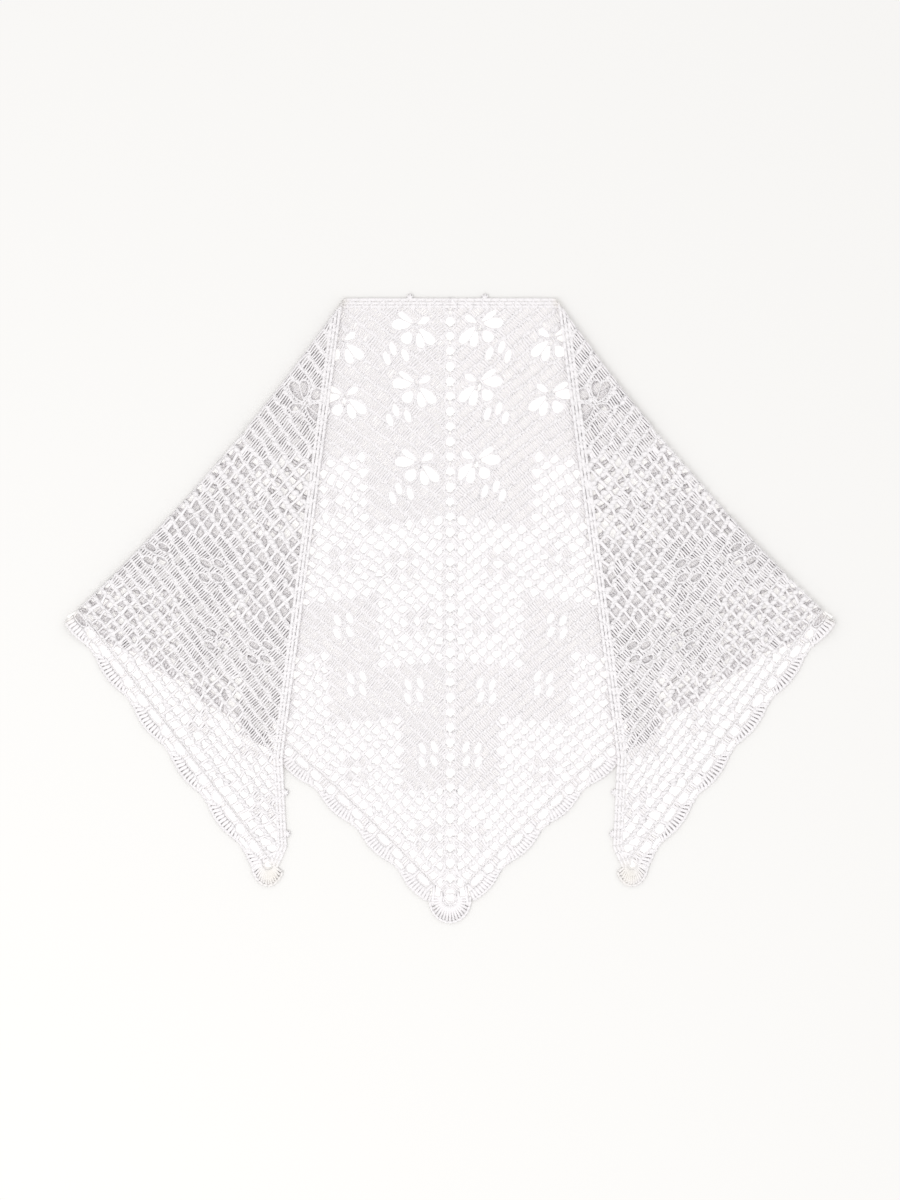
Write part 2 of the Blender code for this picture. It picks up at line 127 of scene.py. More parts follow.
# Petal holes of a butterfly, round its knot, in the frame of its row: metres and degrees.
BUTTERFLY = (
    # angle, near end, far end, width
    (-5.0, 0.0022, 0.0160, 0.0040),
    (-39.0, 0.0036, 0.0180, 0.0074),
    (-97.0, 0.0066, 0.0158, 0.0080),
    (-148.0, 0.0060, 0.0180, 0.0056),
    (-177.0, 0.0036, 0.0200, 0.0066),
    (110.0, 0.0022, 0.0116, 0.0046),
)
BUTTERFLIES = (
    # stitch, row, on the left half
    (8.3, 3.9),
    (8.3, 7.75),
    (8.1, 12.75),
    (26.3, 8.9),
    (26.6, 12.3),
)
RIGHT_BUTTERFLY_SHIFT = (-1.4, -0.45)
PETAL_BARS = (-19.0, -66.0, -163.0)
PETAL_BAR_ENDS = (0.0015, 0.0175)
PETAL_BAR_WIDTH = 0.75
WING_BUTTERFLY = (46.9, 13.4)
SMALL_HOLES = (
    # stitch, row, from the knot of each of the first three butterflies
    (2.5, 2.6),
    (5.5, 2.9),
    (7.2, 3.85),
)
SMALL_HOLE = (0.86, 0.36)

# Flowers stand in two rows of the ground, once in each repeat of the net.
REPEAT = 20
FLOWERS = (
    # stitch, row
    (10.2, 28.4),
    (6.3, 31.8),
    (29.4, 28.2),
    (26.2, 31.5),
)
WING_FLOWERS = (
    # stitch, row
    (84.2, 27.7),
    (103.4, 28.4),
    (81.0, 30.9),
    (101.0, 30.9),
)
FLOWER = (
    # stitch, row, of each petal from its middle
    (-1.8, -0.93),
    (-1.6, 0.05),
    (1.6, -0.05),
    (1.8, 0.90),
)
FLOWER_HOLE = (0.95, 0.31)

# Eyelets of the spine: how far down its row the middle of each is, and half its width and height.
EYELET_SHARE = 0.69
EYELET_HALF = (0.0036, 0.0049)

# Legs between eyelets: shares of a row below and above it that they reach, how far aside, and how wide.
EYELET_LEGS = (0.20, 0.22)
EYELET_LEG_OUT = 0.0052
EYELET_LEG_WIDTH = 1.1

# The net: open cells stand in triangles that grow by two cells a row, broken by small diamonds.
FIRST_CELL = 4
UPPER_NET = (16, 29)
UPPER_NET_CELL = 4
UPPER_NET_CLOSES = (25, 22)
LOWER_NET = (32, 40)
LOWER_NET_CELL = 16
NET_GROWTH = 4
DIAMONDS = (
    # middle cell, row
    (14, 21),
    (10, 24),
    (8, 38),
)

# Flat sizes of the cloth of each piece, opened out: width and length of its outline, and its area.
BACK_SHEET = ((0.277, 0.448), 0.0649)
WING_SHEET = ((0.175, 0.420), 0.0338)
POINT_SHEET = ((0.0330, 0.0250), 0.00066)
BAND_SHEET_WIDTH = 0.0100
EDGING_DEPTH = 0.0157

# The stage.
PHOTO_HEIGHT = 0.900
CAMERA_HEIGHT = 3.0
VIEW_MIDDLE = 0.0073
FLOOR_SIZE = 3.0
FLOOR_HEIGHT = -0.0002
BACKING_HEIGHT = -0.0001
BACKING_OUT = 0.0014
BACKING_EDGING = 0.0108
LAMP_PLACE = (-0.7, -0.9, 1.6)
LAMP_SIZE = 0.9

# The eight corners that round holes are drawn through.
AROUND = np.arange(8) * math.tau / 8
MIRROR = np.array((-1.0, 1.0, 1.0))


def ease(share):
    """A smooth step from 0 to 1."""
    share = np.clip(share, 0.0, 1.0)
    return share * share * (3.0 - 2.0 * share)


def plan(across, down):
    """Turns a place across and down into a point of the plan, whose middle is the origin."""
    return np.array((across, DEPTH / 2 - down))


class Line:
    """A line in the plan, measured along it and square to it, for whole arrays of places at once.

    Its outer side is on the left of its run when outer is 1, and on the right when outer is -1.
    """

    def __init__(self, points, outer=1, closed=False):
        self.points = np.array(points, dtype=float)
        steps = np.diff(self.points, axis=0)
        lengths = np.hypot(steps[:, 0], steps[:, 1])
        self.marks = np.concatenate(([0.0], np.cumsum(lengths)))
        self.length = self.marks[-1]
        self.outer = outer
        self.past = 0.0 if closed else 1.0
        self.runs = steps / lengths[:, None]
        smooth = np.vstack((self.runs[:1], self.runs[:-1] + self.runs[1:], self.runs[-1:]))
        if closed:
            smooth[0] = smooth[-1] = self.runs[0] + self.runs[-1]
        self.smooth = smooth / np.hypot(smooth[:, 0], smooth[:, 1])[:, None]

    def at(self, along, out=0.0):
        """The points at distances along the line, and out from it."""
        held = np.clip(along, 0.0, self.length)
        middle = [np.interp(held, self.marks, self.points[:, axis]) for axis in (0, 1)]
        run = [np.interp(held, self.marks, self.smooth[:, axis]) for axis in (0, 1)]
        past = along - held
        out = np.asarray(out) * self.outer
        across = middle[0] + run[0] * past - run[1] * out
        up = middle[1] + run[1] * past + run[0] * out
        return np.stack((across, up), axis=-1)

    def measure(self, places):
        """The distances along the line, and out from it, of arrays of places."""
        nearest = np.full(len(places), np.inf)
        along = np.zeros(len(places))
        out = np.zeros(len(places))
        last = len(self.runs) - 1
        for index, run in enumerate(self.runs):
            offset = places - self.points[index]
            ahead = offset @ run
            low = -self.past if index == 0 else 0.0
            high = self.marks[index + 1] - self.marks[index] + (self.past if index == last else 0.0)
            held = np.clip(ahead, low, high)
            away = np.hypot(offset[:, 0] - held * run[0], offset[:, 1] - held * run[1])
            side = (offset[:, 1] * run[0] - offset[:, 0] * run[1]) * self.outer
            nearer = away < nearest
            nearest[nearer] = away[nearer]
            along[nearer] = self.marks[index] + held[nearer]
            out[nearer] = np.copysign(away[nearer], side[nearer])
        return along, out


def fold_line():
    """The fold of a side corner: nearly straight, bowed a little towards the middle."""
    start, end = plan(*FOLD_TOP), plan(*FOLD_END)
    run = (end - start) / np.hypot(*(end - start))
    outward = np.array((-run[1], run[0]))
    share = np.linspace(0.0, 1.0, 15)[:, None]
    return Line(start + (end - start) * share - outward * FOLD_BOW * 4 * share * (1 - share))


FOLD = fold_line()
LONG_SIDE = Line([plan(*FOLD_TOP), plan(*LONG_SIDE_KNEE), plan(*LONG_SIDE_TURN), plan(*CORNER)])


def fold_share(row):
    """How far down the fold a row crosses it: the rows lie closer towards the corner."""
    share = (row - FOLD_ROW) / (ROWS - FOLD_ROW)
    return share + FOLD_WARP * share * (1 - share)


def row_on_back(row):
    """The line of one row on the back layer, from the spine to the fold or to the long side."""
    start = plan(0.0, POINT_DOWN * row / ROWS)
    if row <= FOLD_ROW:
        return Line([start, plan(FOLD_TOP[0] * row / FOLD_ROW, 0.0)], outer=-1)
    end = FOLD.at(FOLD.length * fold_share(row))
    half = ROWS / 2
    slope = ROW_SLOPE_TOP + (ROW_SLOPE_POINT - ROW_SLOPE_TOP) * max(0.0, row - half) / half
    bend = start + np.array((1.0, slope)) * (end[0] * ROW_BEND)
    share = np.linspace(0.0, 1.0, 25)[:, None]
    first = start + (bend - start) * share
    return Line(first + (bend + (end - bend) * share - first) * share, outer=-1)


def row_on_wing(row):
    """The line of one row on the folded-over wing, from the fold to the long side."""
    share = max(fold_share(row), 0.0)
    return Line([FOLD.at(FOLD.length * share), LONG_SIDE.at(LONG_SIDE.length * share + 1e-6)])


LAST_ROW_BACK = row_on_back(ROWS)
LAST_ROW_WING = row_on_wing(ROWS)


class Rows:
    """A table of the rows' lines, so that whole arrays of stitches are placed at once."""

    per_row = 4
    across = 60

    def __init__(self, line_of_row):
        shares = np.linspace(0.0, 1.0, self.across + 1)
        rows = np.arange(0, ROWS * self.per_row + 1) / self.per_row
        lines = [line_of_row(max(row, 0.02)) for row in rows]
        self.table = np.array([line.at(line.length * shares) for line in lines])

    def at(self, share, row):
        """The points at shares of the length of rows."""
        place = np.clip(share, -0.2, 1.2) * self.across
        line = np.clip(row, 0.0, ROWS + 0.5) * self.per_row
        column = np.clip(place.astype(int), 0, self.across - 1)
        index = np.clip(line.astype(int), 0, ROWS * self.per_row - 1)
        aside = (place - column)[:, None]
        on = (line - index)[:, None]
        near = self.table[index, column] * (1 - aside) + self.table[index, column + 1] * aside
        far = self.table[index + 1, column] * (1 - aside) + self.table[index + 1, column + 1] * aside
        return near * (1 - on) + far * on


BACK_ROWS = Rows(row_on_back)
WING_ROWS = Rows(row_on_wing)


def stitches_to_fold(row):
    """How many stitches rows have between the spine and the fold."""
    share = (row - FOLD_ROW) / (ROWS - FOLD_ROW)
    past = STITCHES_PER_ROW * FOLD_ROW * (1 - share) + FOLD_STITCH * share
    return np.where(row <= FOLD_ROW, STITCHES_PER_ROW * row, past)


def ground(stitch, row):
    """The points of the plan at stitches of rows, and whether each is on the wing."""
    folded = stitches_to_fold(row)
    beyond = np.maximum(STITCHES_PER_ROW * row - folded, 1e-3)
    wing = (stitch > folded) & (row > FOLD_ROW)
    on_back = BACK_ROWS.at(stitch / np.maximum(folded, 1e-3), row)
    on_wing = WING_ROWS.at((stitch - folded) / beyond, row)
    return np.where(wing[:, None], on_wing, on_back), wing


def lay(places, wing, height):
    """Lays points of the plan: flat, round the fold, or over the back layer and down past its edge."""
    along, out = FOLD.measure(places)
    turn = np.clip((out + ROLL) / ROLL, 0.0, 1.0) * math.pi / 2
    radius = ROLL_MIDDLE - height
    rolled = FOLD.at(along, -ROLL + radius * np.sin(turn))
    rise = radius * np.cos(turn)
    rolling = out > -ROLL
    inside = -ROLL - out
    past = np.minimum(LAST_ROW_BACK.measure(places)[1] - STEP_START, inside)
    low = LAYER * (1.0 - ease(past / STEP_RUN)) + PUFF * (1.0 - ease(inside / PUFF_RUN))
    on_back = np.where(rolling, ROLL - rise, THICK / 2 + height)
    on_wing = np.where(rolling, ROLL + rise, THICK / 2 + low - height)
    flat = np.where(rolling[:, None], rolled, places)
    return np.column_stack((flat, np.where(wing, on_wing, on_back)))


class Strand:
    """One closed length of yarn, to be copied: its points, faces and yarn coordinates.

    It is extruded ring by ring from a circle. Its points are across, along (0 to 1) and up.
    """

    def __init__(self, rings, sides=6):
        shape = bmesh.new()
        layer = shape.loops.layers.uv.new("Yarn")
        circle = bmesh.ops.create_circle(shape, cap_ends=True, segments=sides, radius=1.0)["verts"]
        marks = {vert: (0, math.atan2(vert.co.y, vert.co.x) / math.tau % 1.0) for vert in circle}
        last = self.ring(rings[0])
        bmesh.ops.transform(shape, matrix=last, verts=circle)
        end = circle[0].link_faces[0]
        for index, ring in enumerate(rings[1:], 1):
            made = bmesh.ops.extrude_face_region(shape, geom=[end])["geom"]
            if index > 1 and end.is_valid:
                bmesh.ops.delete(shape, geom=[end], context="FACES_ONLY")
            verts = [item for item in made if isinstance(item, bmesh.types.BMVert)]
            end = [item for item in made if isinstance(item, bmesh.types.BMFace)][0]
            for vert in verts:
                flat = last.inverted() @ vert.co
                marks[vert] = (index, math.atan2(flat.y, flat.x) / math.tau % 1.0)
            bmesh.ops.transform(shape, matrix=self.ring(ring) @ last.inverted(), verts=verts)
            last = self.ring(ring)
        bmesh.ops.recalc_face_normals(shape, faces=shape.faces[:])
        for face in shape.faces:
            capping = len({marks[vert][0] for vert in face.verts}) == 1
            arounds = [marks[vert][1] for vert in face.verts]
            wraps = max(arounds) - min(arounds) > 0.5
            for loop in face.loops:
                index, around = marks[loop.vert]
                if wraps and not capping and around < 0.5:
                    around += 1.0
                if capping:
                    turn = around * math.tau
                    level = 0.02 if index == 0 else 0.98
                    loop[layer].uv = (level + 0.015 * math.cos(turn), 0.5 + 0.4 * math.sin(turn))
                else:
                    loop[layer].uv = (0.05 + 0.9 * index / (len(rings) - 1), around)
        self.ring_of = np.array([marks[vert][0] for vert in shape.verts])
        mesh = bpy.data.meshes.new("strand")
        shape.to_mesh(mesh)
        shape.free()
        self.points = np.empty(len(mesh.vertices) * 3)
        mesh.vertices.foreach_get("co", self.points)
        self.points = self.points.reshape(-1, 3)
        self.corners = np.empty(len(mesh.loops), dtype=np.int32)
        mesh.loops.foreach_get("vertex_index", self.corners)
        self.starts = np.empty(len(mesh.polygons), dtype=np.int32)
        mesh.polygons.foreach_get("loop_start", self.starts)
        self.uv = np.empty(len(mesh.loops) * 2)
        mesh.uv_layers["Yarn"].data.foreach_get("uv", self.uv)
        self.uv = self.uv.reshape(-1, 2)
        bpy.data.meshes.remove(mesh)
        order = np.arange(len(self.corners))
        for first, after in zip(self.starts, [*self.starts[1:], len(order)]):
            order[first:after] = order[first:after][::-1]
        self.turned = order

    @staticmethod
    def ring(ring):
        """The transform that turns a unit circle into one ring of the yarn."""
        along, aside, up, half_width, half_thick, turn = ring
        place = Matrix.Translation((aside, along, up))
        upright = Matrix.Rotation(math.radians(90), 4, "X")
        twist = Matrix.Rotation(math.radians(turn), 4, "Z")
        return place @ upright @ twist @ Matrix.Diagonal((half_width, half_thick, 1.0, 1.0))


POST = (
    # along, aside, up, half width, half thickness, turn
    (-0.12, -0.04, 0.00, 0.80, 0.56, 8),
    (0.22, -0.05, 0.20, 0.72, 0.76, -10),
    (0.76, 0.05, 0.20, 0.70, 0.76, 10),
    (1.10, 0.04, 0.00, 0.84, 0.56, -8),
)
LINK = (
    # along, aside, up, half width, half thickness, turn
    (-0.10, -0.10, -0.10, 0.96, 0.50, 0),
    (0.20, -0.16, 0.10, 1.26, 0.66, 8),
    (0.74, 0.16, 0.10, 1.30, 0.66, -8),
    (1.08, 0.10, -0.10, 0.96, 0.50, 0),
)
CORD = (
    # along, aside, up, half width, half thickness, turn
    (-0.06, 0.0, 0.00, 1.24, 0.60, 0),
    (0.22, 0.0, 0.10, 1.32, 0.68, 5),
    (0.78, 0.0, 0.10, 1.32, 0.68, -5),
    (1.06, 0.0, 0.00, 1.24, 0.60, 0),
)
PLAIN_POST = (
    # along, aside, up, half width, half thickness, turn
    (-0.04, 0.0, 0.0, 0.82, 0.70, 0),
    (1.04, 0.0, 0.0, 0.86, 0.70, 0),
)


class Stitches:
    """Gathers copies of strands that have been laid, and joins them into one mesh."""

    def __init__(self):
        self.batches = []

    def add(self, strand, laid):
        """Adds copies of a strand, whose points have been laid as an array of copies by points by 3."""
        if len(laid):
            self.batches.append((strand, laid))

    def joined(self, name, side=1):
        """One mesh of every copy, mirrored for the left-hand side."""
        points, corners, starts, yarn, cells = [], [], [], [], []
        first_point = first_corner = 0
        copies = sum(len(laid) for _, laid in self.batches)
        grid = math.ceil(math.sqrt(copies))
        cell = 0
        for strand, laid in self.batches:
            laid = laid * np.array((side, 1.0, 1.0))
            number, size = laid.shape[:2]
            order = strand.turned if self.inside_out(strand, laid) else np.arange(len(strand.corners))
            offsets = first_point + np.arange(number)[:, None] * size
            points.append(laid.reshape(-1, 3))
            corners.append((strand.corners[order][None, :] + offsets).ravel())
            loops = first_corner + np.arange(number)[:, None] * len(order)
            starts.append((strand.starts[None, :] + loops).ravel())
            uv = strand.uv[order]
            yarn.append(np.tile(uv, (number, 1)))
            index = cell + np.arange(number)
            corner = np.stack((index % grid, index // grid), axis=1)[:, None, :]
            packed = np.stack((uv[:, 0], uv[:, 1] / 1.2), axis=1)
            cells.append(((corner + 0.04 + 0.92 * packed[None, :, :]) / grid).reshape(-1, 2))
            first_point += number * size
            first_corner += number * len(order)
            cell += number
        mesh = bpy.data.meshes.new(name)
        points = np.concatenate(points)
        corners = np.concatenate(corners)
        starts = np.concatenate(starts)
        mesh.vertices.add(len(points))
        mesh.vertices.foreach_set("co", points.ravel())
        mesh.loops.add(len(corners))
        mesh.loops.foreach_set("vertex_index", corners)
        mesh.polygons.add(len(starts))
        mesh.polygons.foreach_set("loop_start", starts)
        mesh.polygons.foreach_set("use_smooth", np.ones(len(starts), dtype=bool))
        mesh.update(calc_edges=True)
        for layer, values in (("Yarn", yarn), ("OFBake", cells)):
            mesh.uv_layers.new(name=layer).data.foreach_set("uv", np.concatenate(values).ravel())
        piece = bpy.data.objects.new(name, mesh)
        bpy.context.collection.objects.link(piece)
        return piece

    @staticmethod
    def inside_out(strand, laid):
        """Whether copies of a strand have been turned inside out by how they were laid."""
        volume = 0.0
        sample = laid[:: max(1, len(laid) // 50)]
        ends = [*strand.starts[1:], len(strand.corners)]
        for first, after in zip(strand.starts, ends):
            loop = strand.corners[first:after]
            anchor = sample[:, loop[0]]
            for second, third in zip(loop[1:-1], loop[2:]):
                volume += np.einsum("ij,ij->", anchor, np.cross(sample[:, second], sample[:, third]))
        return volume < 0


def hole_line(points, steps=4):
    """A smooth closed line through a few points, run so that its outer side is outside."""
    points = np.array(points)
    turned = np.roll(points, -1, axis=0)
    area = np.sum(points[:, 0] * turned[:, 1] - turned[:, 0] * points[:, 1])
    if area < 0:
        points = points[::-1]
    smooth = []
    for index in range(len(points)):
        before, first, second, after = (points[(index + step) % len(points)] for step in (-1, 0, 1, 2))
        for share in np.arange(steps) / steps:
            even = 2 * first + (second - before) * share
            bent = (2 * before - 5 * first + 4 * second - after) * share**2
            cubed = (3 * first - before - 3 * second + after) * share**3
            smooth.append((even + bent + cubed) / 2)
    smooth.append(smooth[0])
    return Line(smooth, outer=-1, closed=True)


def chart_hole(stitch, row, half_stitches, half_rows):
    """A hole of the ground, as wide and high as so many stitches and rows, and whether it is on the wing."""
    places, wing = ground(stitch + half_stitches * np.cos(AROUND), row + half_rows * np.sin(AROUND))
    return hole_line(places), bool(wing[0])


def row_frame(stitch, row):
    """A place of the ground, unit arrows along its row and up from it, and whether it is on the wing."""
    places, wing = ground(np.array((stitch, stitch + 1.0)), np.array((row, row)))
    along = (places[1] - places[0]) / np.hypot(*(places[1] - places[0]))
    return places[0], along, np.array((-along[1], along[0])), bool(wing[0])


def butterfly_holes(stitch, row):
    """The six petals round the knot of a butterfly."""
    knot, along, up, wing = row_frame(stitch, row)
    holes = []
    for angle, near, far, width in BUTTERFLY:
        turn = math.radians(angle)
        out = along * math.cos(turn) + up * math.sin(turn)
        aside = np.array((-out[1], out[0])) * (width / 2)
        petal = [knot + out * near]
        for share, spread in ((0.45, -0.95), (0.85, -0.85), (1.0, 0.0), (0.85, 0.85), (0.45, 0.95)):
            petal.append(knot + out * (near + (far - near) * share) + aside * spread)
        holes.append((hole_line(petal), wing))
    return holes


def off_spine(hole):
    """A hole held clear of the spine."""
    hole, wing = hole
    points = hole.points.copy()
    points[:, 0] = np.maximum(points[:, 0], SPINE_HALF)
    return Line(points, outer=-1, closed=True), wing


def butterflies_of(side):
    """The knots of the butterflies of the back layer of one half, by stitch and row."""
    shift = RIGHT_BUTTERFLY_SHIFT if side > 0 else (0.0, 0.0)
    return [(stitch + shift[0], row + shift[1]) for stitch, row in BUTTERFLIES]


def ground_holes(side):
    """Every motif hole of one half of the ground, with whether it is on the wing."""
    butterflies = butterflies_of(side)
    holes = []
    for stitch, row in butterflies:
        holes += [off_spine(hole) for hole in butterfly_holes(stitch, row)]
    for stitch, row in butterflies[:3]:
        for more_stitches, more_rows in SMALL_HOLES:
            holes.append(chart_hole(stitch + more_stitches, row + more_rows, *SMALL_HOLE))
    holes += butterfly_holes(*WING_BUTTERFLY)
    for stitch, row in (*FLOWERS, *WING_FLOWERS):
        for aside, on in FLOWER:
            holes.append(chart_hole(stitch + aside, row + on, *FLOWER_HOLE))
    return holes


HOLE_MARGIN = 0.0002
PUSH = 0.0012
SHOULDER = 0.85
SQUEEZE = 0.40
SAMPLES = 17
LEAST_PART = 4


def clear_holes(places, strand, holes):
    """Makes copies of a strand leave the holes free, and says which copies stay.

    A ring that is near the edge of a hole moves aside, a copy that runs into a hole is shortened to its
    longest free part, and what then stands between two holes is squeezed. Places are copies by points by 2.
    """
    kept = np.ones(len(places), dtype=bool)
    if not len(places):
        return places, kept
    rings = strand.ring_of
    count = rings.max() + 1
    centres = np.stack([places[:, rings == ring].mean(axis=1) for ring in range(count)], axis=1)
    spread = places - centres[:, rings]
    width = np.hypot(spread[:, :, 0], spread[:, :, 1])
    width = np.stack([width[:, rings == ring].max(axis=1) for ring in range(count)], axis=1)
    near = []
    reach = width.max() + PUSH + HOLE_MARGIN
    for hole in holes:
        low, high = hole.points.min(axis=0) - reach, hole.points.max(axis=0) + reach
        within = (centres.min(axis=1) < high).all(axis=1) & (centres.max(axis=1) > low).all(axis=1)
        if within.any():
            near.append((hole, np.flatnonzero(within)))
    for _ in range(2):
        for hole, found in near:
            along, out = hole.measure(centres[found].reshape(-1, 2))
            need = np.where(out < -PUSH, 0.0, HOLE_MARGIN + width[found].ravel() * SHOULDER - out)
            outward = (hole.at(along, 0.001) - hole.at(along, 0.0)) / 0.001
            centres[found] += (outward * np.clip(need, 0.0, PUSH)[:, None]).reshape(len(found), count, 2)
    shares = np.linspace(0.0, count - 1.0, SAMPLES)
    first = np.minimum(shares.astype(int), count - 2)
    part = (shares - first)[None, :, None]
    samples = centres[:, first] * (1.0 - part) + centres[:, first + 1] * part
    blocked = np.zeros((len(places), SAMPLES), dtype=bool)
    for hole, found in near:
        out = hole.measure(samples[found].reshape(-1, 2))[1].reshape(len(found), SAMPLES)
        blocked[found] |= out < HOLE_MARGIN
    for index in np.flatnonzero(blocked.any(axis=1)):
        start, end, run = 0, 0, 0
        for sample, shut in enumerate([*blocked[index], True]):
            if shut and sample - run > end - start:
                start, end = run, sample
            if shut:
                run = sample + 1
        kept[index] = end - start > LEAST_PART
        if kept[index]:
            marks = np.linspace(shares[start], shares[end - 1], count)
            line = [np.interp(marks, np.arange(count), centres[index, :, axis]) for axis in (0, 1)]
            centres[index] = np.stack(line, axis=1)
    room = np.full((len(places), count), np.inf)
    for hole, found in near:
        out = hole.measure(centres[found].reshape(-1, 2))[1].reshape(len(found), count)
        room[found] = np.minimum(room[found], out)
    scale = np.clip((room + HOLE_MARGIN) / width, SQUEEZE, 1.0)
    return centres[:, rings] + spread * scale[:, rings][:, :, None], kept


def is_open(cell, row):
    """Whether a cell of the net is open, by its place in the repeat."""
    if cell < FIRST_CELL:
        return False
    for middle, at_row in DIAMONDS:
        if (cell - middle + 2) % REPEAT == 0 and row in (at_row - 1, at_row):
            return False
        if (cell - middle - 2) % REPEAT == 0 and row in (at_row, at_row + 1):
            return False
    if UPPER_NET[0] <= row <= UPPER_NET[1]:
        closing, closed_cell = UPPER_NET_CLOSES
        if row >= closing and (cell - closed_cell) % REPEAT <= NET_GROWTH * (row - closing):
            return False
        return (cell - UPPER_NET_CELL) % REPEAT <= NET_GROWTH * (row - UPPER_NET[0])
    if LOWER_NET[0] <= row <= LOWER_NET[1]:
        return (cell - LOWER_NET_CELL) % REPEAT <= NET_GROWTH * (row - LOWER_NET[0])
    return False


BAND_STITCHES = 2
WALE_SHIFT = 2.0
STITCH_WIDTH = 0.0037
ROW_HEIGHT = 0.0080
MILLIMETRE = 0.001
WAVER = 0.04
# How wide a post is beside closed cells, and beside an open one.
POST_WIDTHS = (1.0, 1.7)
# How wide a loop is with no, one or two open cells beside it.
LINK_WIDTHS = (1.0, 1.35, 1.6)


def ground_stitches(low_stitch, high_stitch):
    """The posts and the loops of the ground between two stitches: stitch, row and width of each."""
    posts, links = [], []
    for row in range(1, ROWS + 1):
        total = int(STITCHES_PER_ROW * row)
        high = min(total - BAND_STITCHES, high_stitch)
        for stitch in np.arange(max(1, low_stitch), high, 0.5):
            place = min(stitch, total - stitch)
            cell = 2 * round(place / 2)
            if abs(place - cell) == 1:
                beside = is_open(place - 1, row) or is_open(place + 1, row)
                posts.append((stitch, row, POST_WIDTHS[int(beside)]))
            elif not is_open(cell, row):
                posts.append((stitch, row, POST_WIDTHS[0]))
        for stitch in range(max(1, low_stitch), high):
            cell = 2 * round(min(stitch, total - stitch) / 2)
            beside = is_open(cell, row) + is_open(cell, row + 1)
            links.append((stitch, row, LINK_WIDTHS[beside]))
    return np.array(posts, dtype=float), np.array(links, dtype=float)


def chart_places(strand, anchors, upright, rng):
    """Chart places and heights of every point of copies of a strand, standing on a row or lying along it."""
    stitch, row, width = (anchors[:, index, None] for index in range(3))
    across, along, up = (strand.points[None, :, index] for index in range(3))
    number = len(anchors)
    wobble = rng.normal(0.0, 1.0, (4, number, 1)).clip(-2.0, 2.0)
    size = width * (1.0 + 0.18 * wobble[0]) * MILLIMETRE
    height = up * MILLIMETRE * (1.0 + 0.12 * wobble[1])
    if upright:
        lean = 0.24 * wobble[2] * (width - 0.4)
        foot = np.maximum(stitch - WALE_SHIFT, 0.35)
        place = foot + (stitch - foot) * along + across * size / STITCH_WIDTH + lean * (along - 0.5)
        place = np.maximum(place, 0.02)
        on = row - 1.0 + along
    else:
        place = stitch - 0.5 + along
        on = row + across * size / ROW_HEIGHT + 0.06 * wobble[3] + 0.05 * wobble[2] * (along - 0.5)
    waver = np.sin(0.83 * place + 2.3 * row) + 0.7 * np.sin(0.31 * place - 1.7 * row)
    return place, np.clip(on + WAVER * waver, 0.02, ROWS), height


def add_ground(stitches, anchors, strand, upright, holes, rng):
    """Lays copies of a strand in the ground and adds those that miss the holes."""
    if not len(anchors):
        return
    place, on, height = chart_places(strand, anchors, upright, rng)
    shape = place.shape
    places, wing = ground(place.ravel(), on.ravel())
    places, wing = places.reshape(*shape, 2), wing.reshape(shape)
    kept = np.ones(shape[0], dtype=bool)
    for side in (False, True):
        lines = [hole for hole, on_wing in holes if on_wing == side]
        chosen = np.flatnonzero(wing.mean(axis=1) > 0.5 if side else wing.mean(axis=1) <= 0.5)
        places[chosen], kept[chosen] = clear_holes(places[chosen], strand, lines)
    laid = lay(places.reshape(-1, 2), wing.ravel(), height.ravel()).reshape(*shape, 3)
    stitches.add(strand, laid[kept])


def add_braid(
    stitches, line, strand, pitch, out, wing, width=1.0, rng=None, low=0.0, high=None, inner=-1.0, holes=()
):
    """Lays loops end to end along a line, at a distance out from it, keeping those beyond the inner line."""
    high = line.length if high is None else high
    number = max(1, round((high - low) / pitch))
    step = (high - low) / number
    across, along, up = (strand.points[None, :, index] for index in range(3))
    start = low + step * np.arange(number)[:, None]
    size = np.full((number, 1), width)
    if rng is not None:
        size = size * (1.0 + 0.06 * rng.normal(0.0, 1.0, (number, 1)))
    place = start + step * along
    aside = out + across * size * MILLIMETRE
    height = np.broadcast_to(up * MILLIMETRE * min(width, 1.0), place.shape)
    places, kept = clear_holes(line.at(place.ravel(), aside.ravel()).reshape(number, -1, 2), strand, holes)
    kept &= places[:, :, 0].mean(axis=1) >= inner
    laid = lay(places.reshape(-1, 2), np.full(place.size, wing), height.ravel()).reshape(number, -1, 3)
    stitches.add(strand, laid[kept])


def add_posts(stitches, feet, tops, strand, wing, width=1.0, holes=(), rng=None, inner=-1.0):
    """Lays posts in the plan from feet to tops. The width is one number, or one for each post."""
    feet, tops = np.array(feet), np.array(tops)
    if not len(feet):
        return
    run = tops - feet
    length = np.hypot(run[:, 0], run[:, 1])[:, None]
    unit = run / length
    side = np.stack((-unit[:, 1], unit[:, 0]), axis=1)
    across, along, up = (strand.points[:, index] for index in range(3))
    size = np.broadcast_to(np.reshape(width, (-1, 1)), (len(feet), 1)) * MILLIMETRE
    if rng is not None:
        size = size * (1.0 + 0.05 * rng.normal(0.0, 1.0, (len(feet), 1)))
    places = feet[:, None, :] + run[:, None, :] * along[None, :, None]
    places = places + side[:, None, :] * (across[None, :] * size)[:, :, None]
    places, kept = clear_holes(places, strand, holes)
    kept &= places[:, :, 0].mean(axis=1) >= inner
    places = places[kept]
    if not len(places):
        return
    flat = places.reshape(-1, 2)
    height = np.tile(up * MILLIMETRE * min(float(np.max(width)), 1.0), len(places))
    laid = lay(flat, np.full(len(flat), wing), height)
    stitches.add(strand, laid.reshape(len(places), -1, 3))


RIM_PITCH = 0.0032
RIM_OUT = 0.0008
RIM_WIDTH = 0.70
EDGE_RIM_WIDTH = 0.50
KNOT = 0.0042
KNOT_WIDTH = 1.3


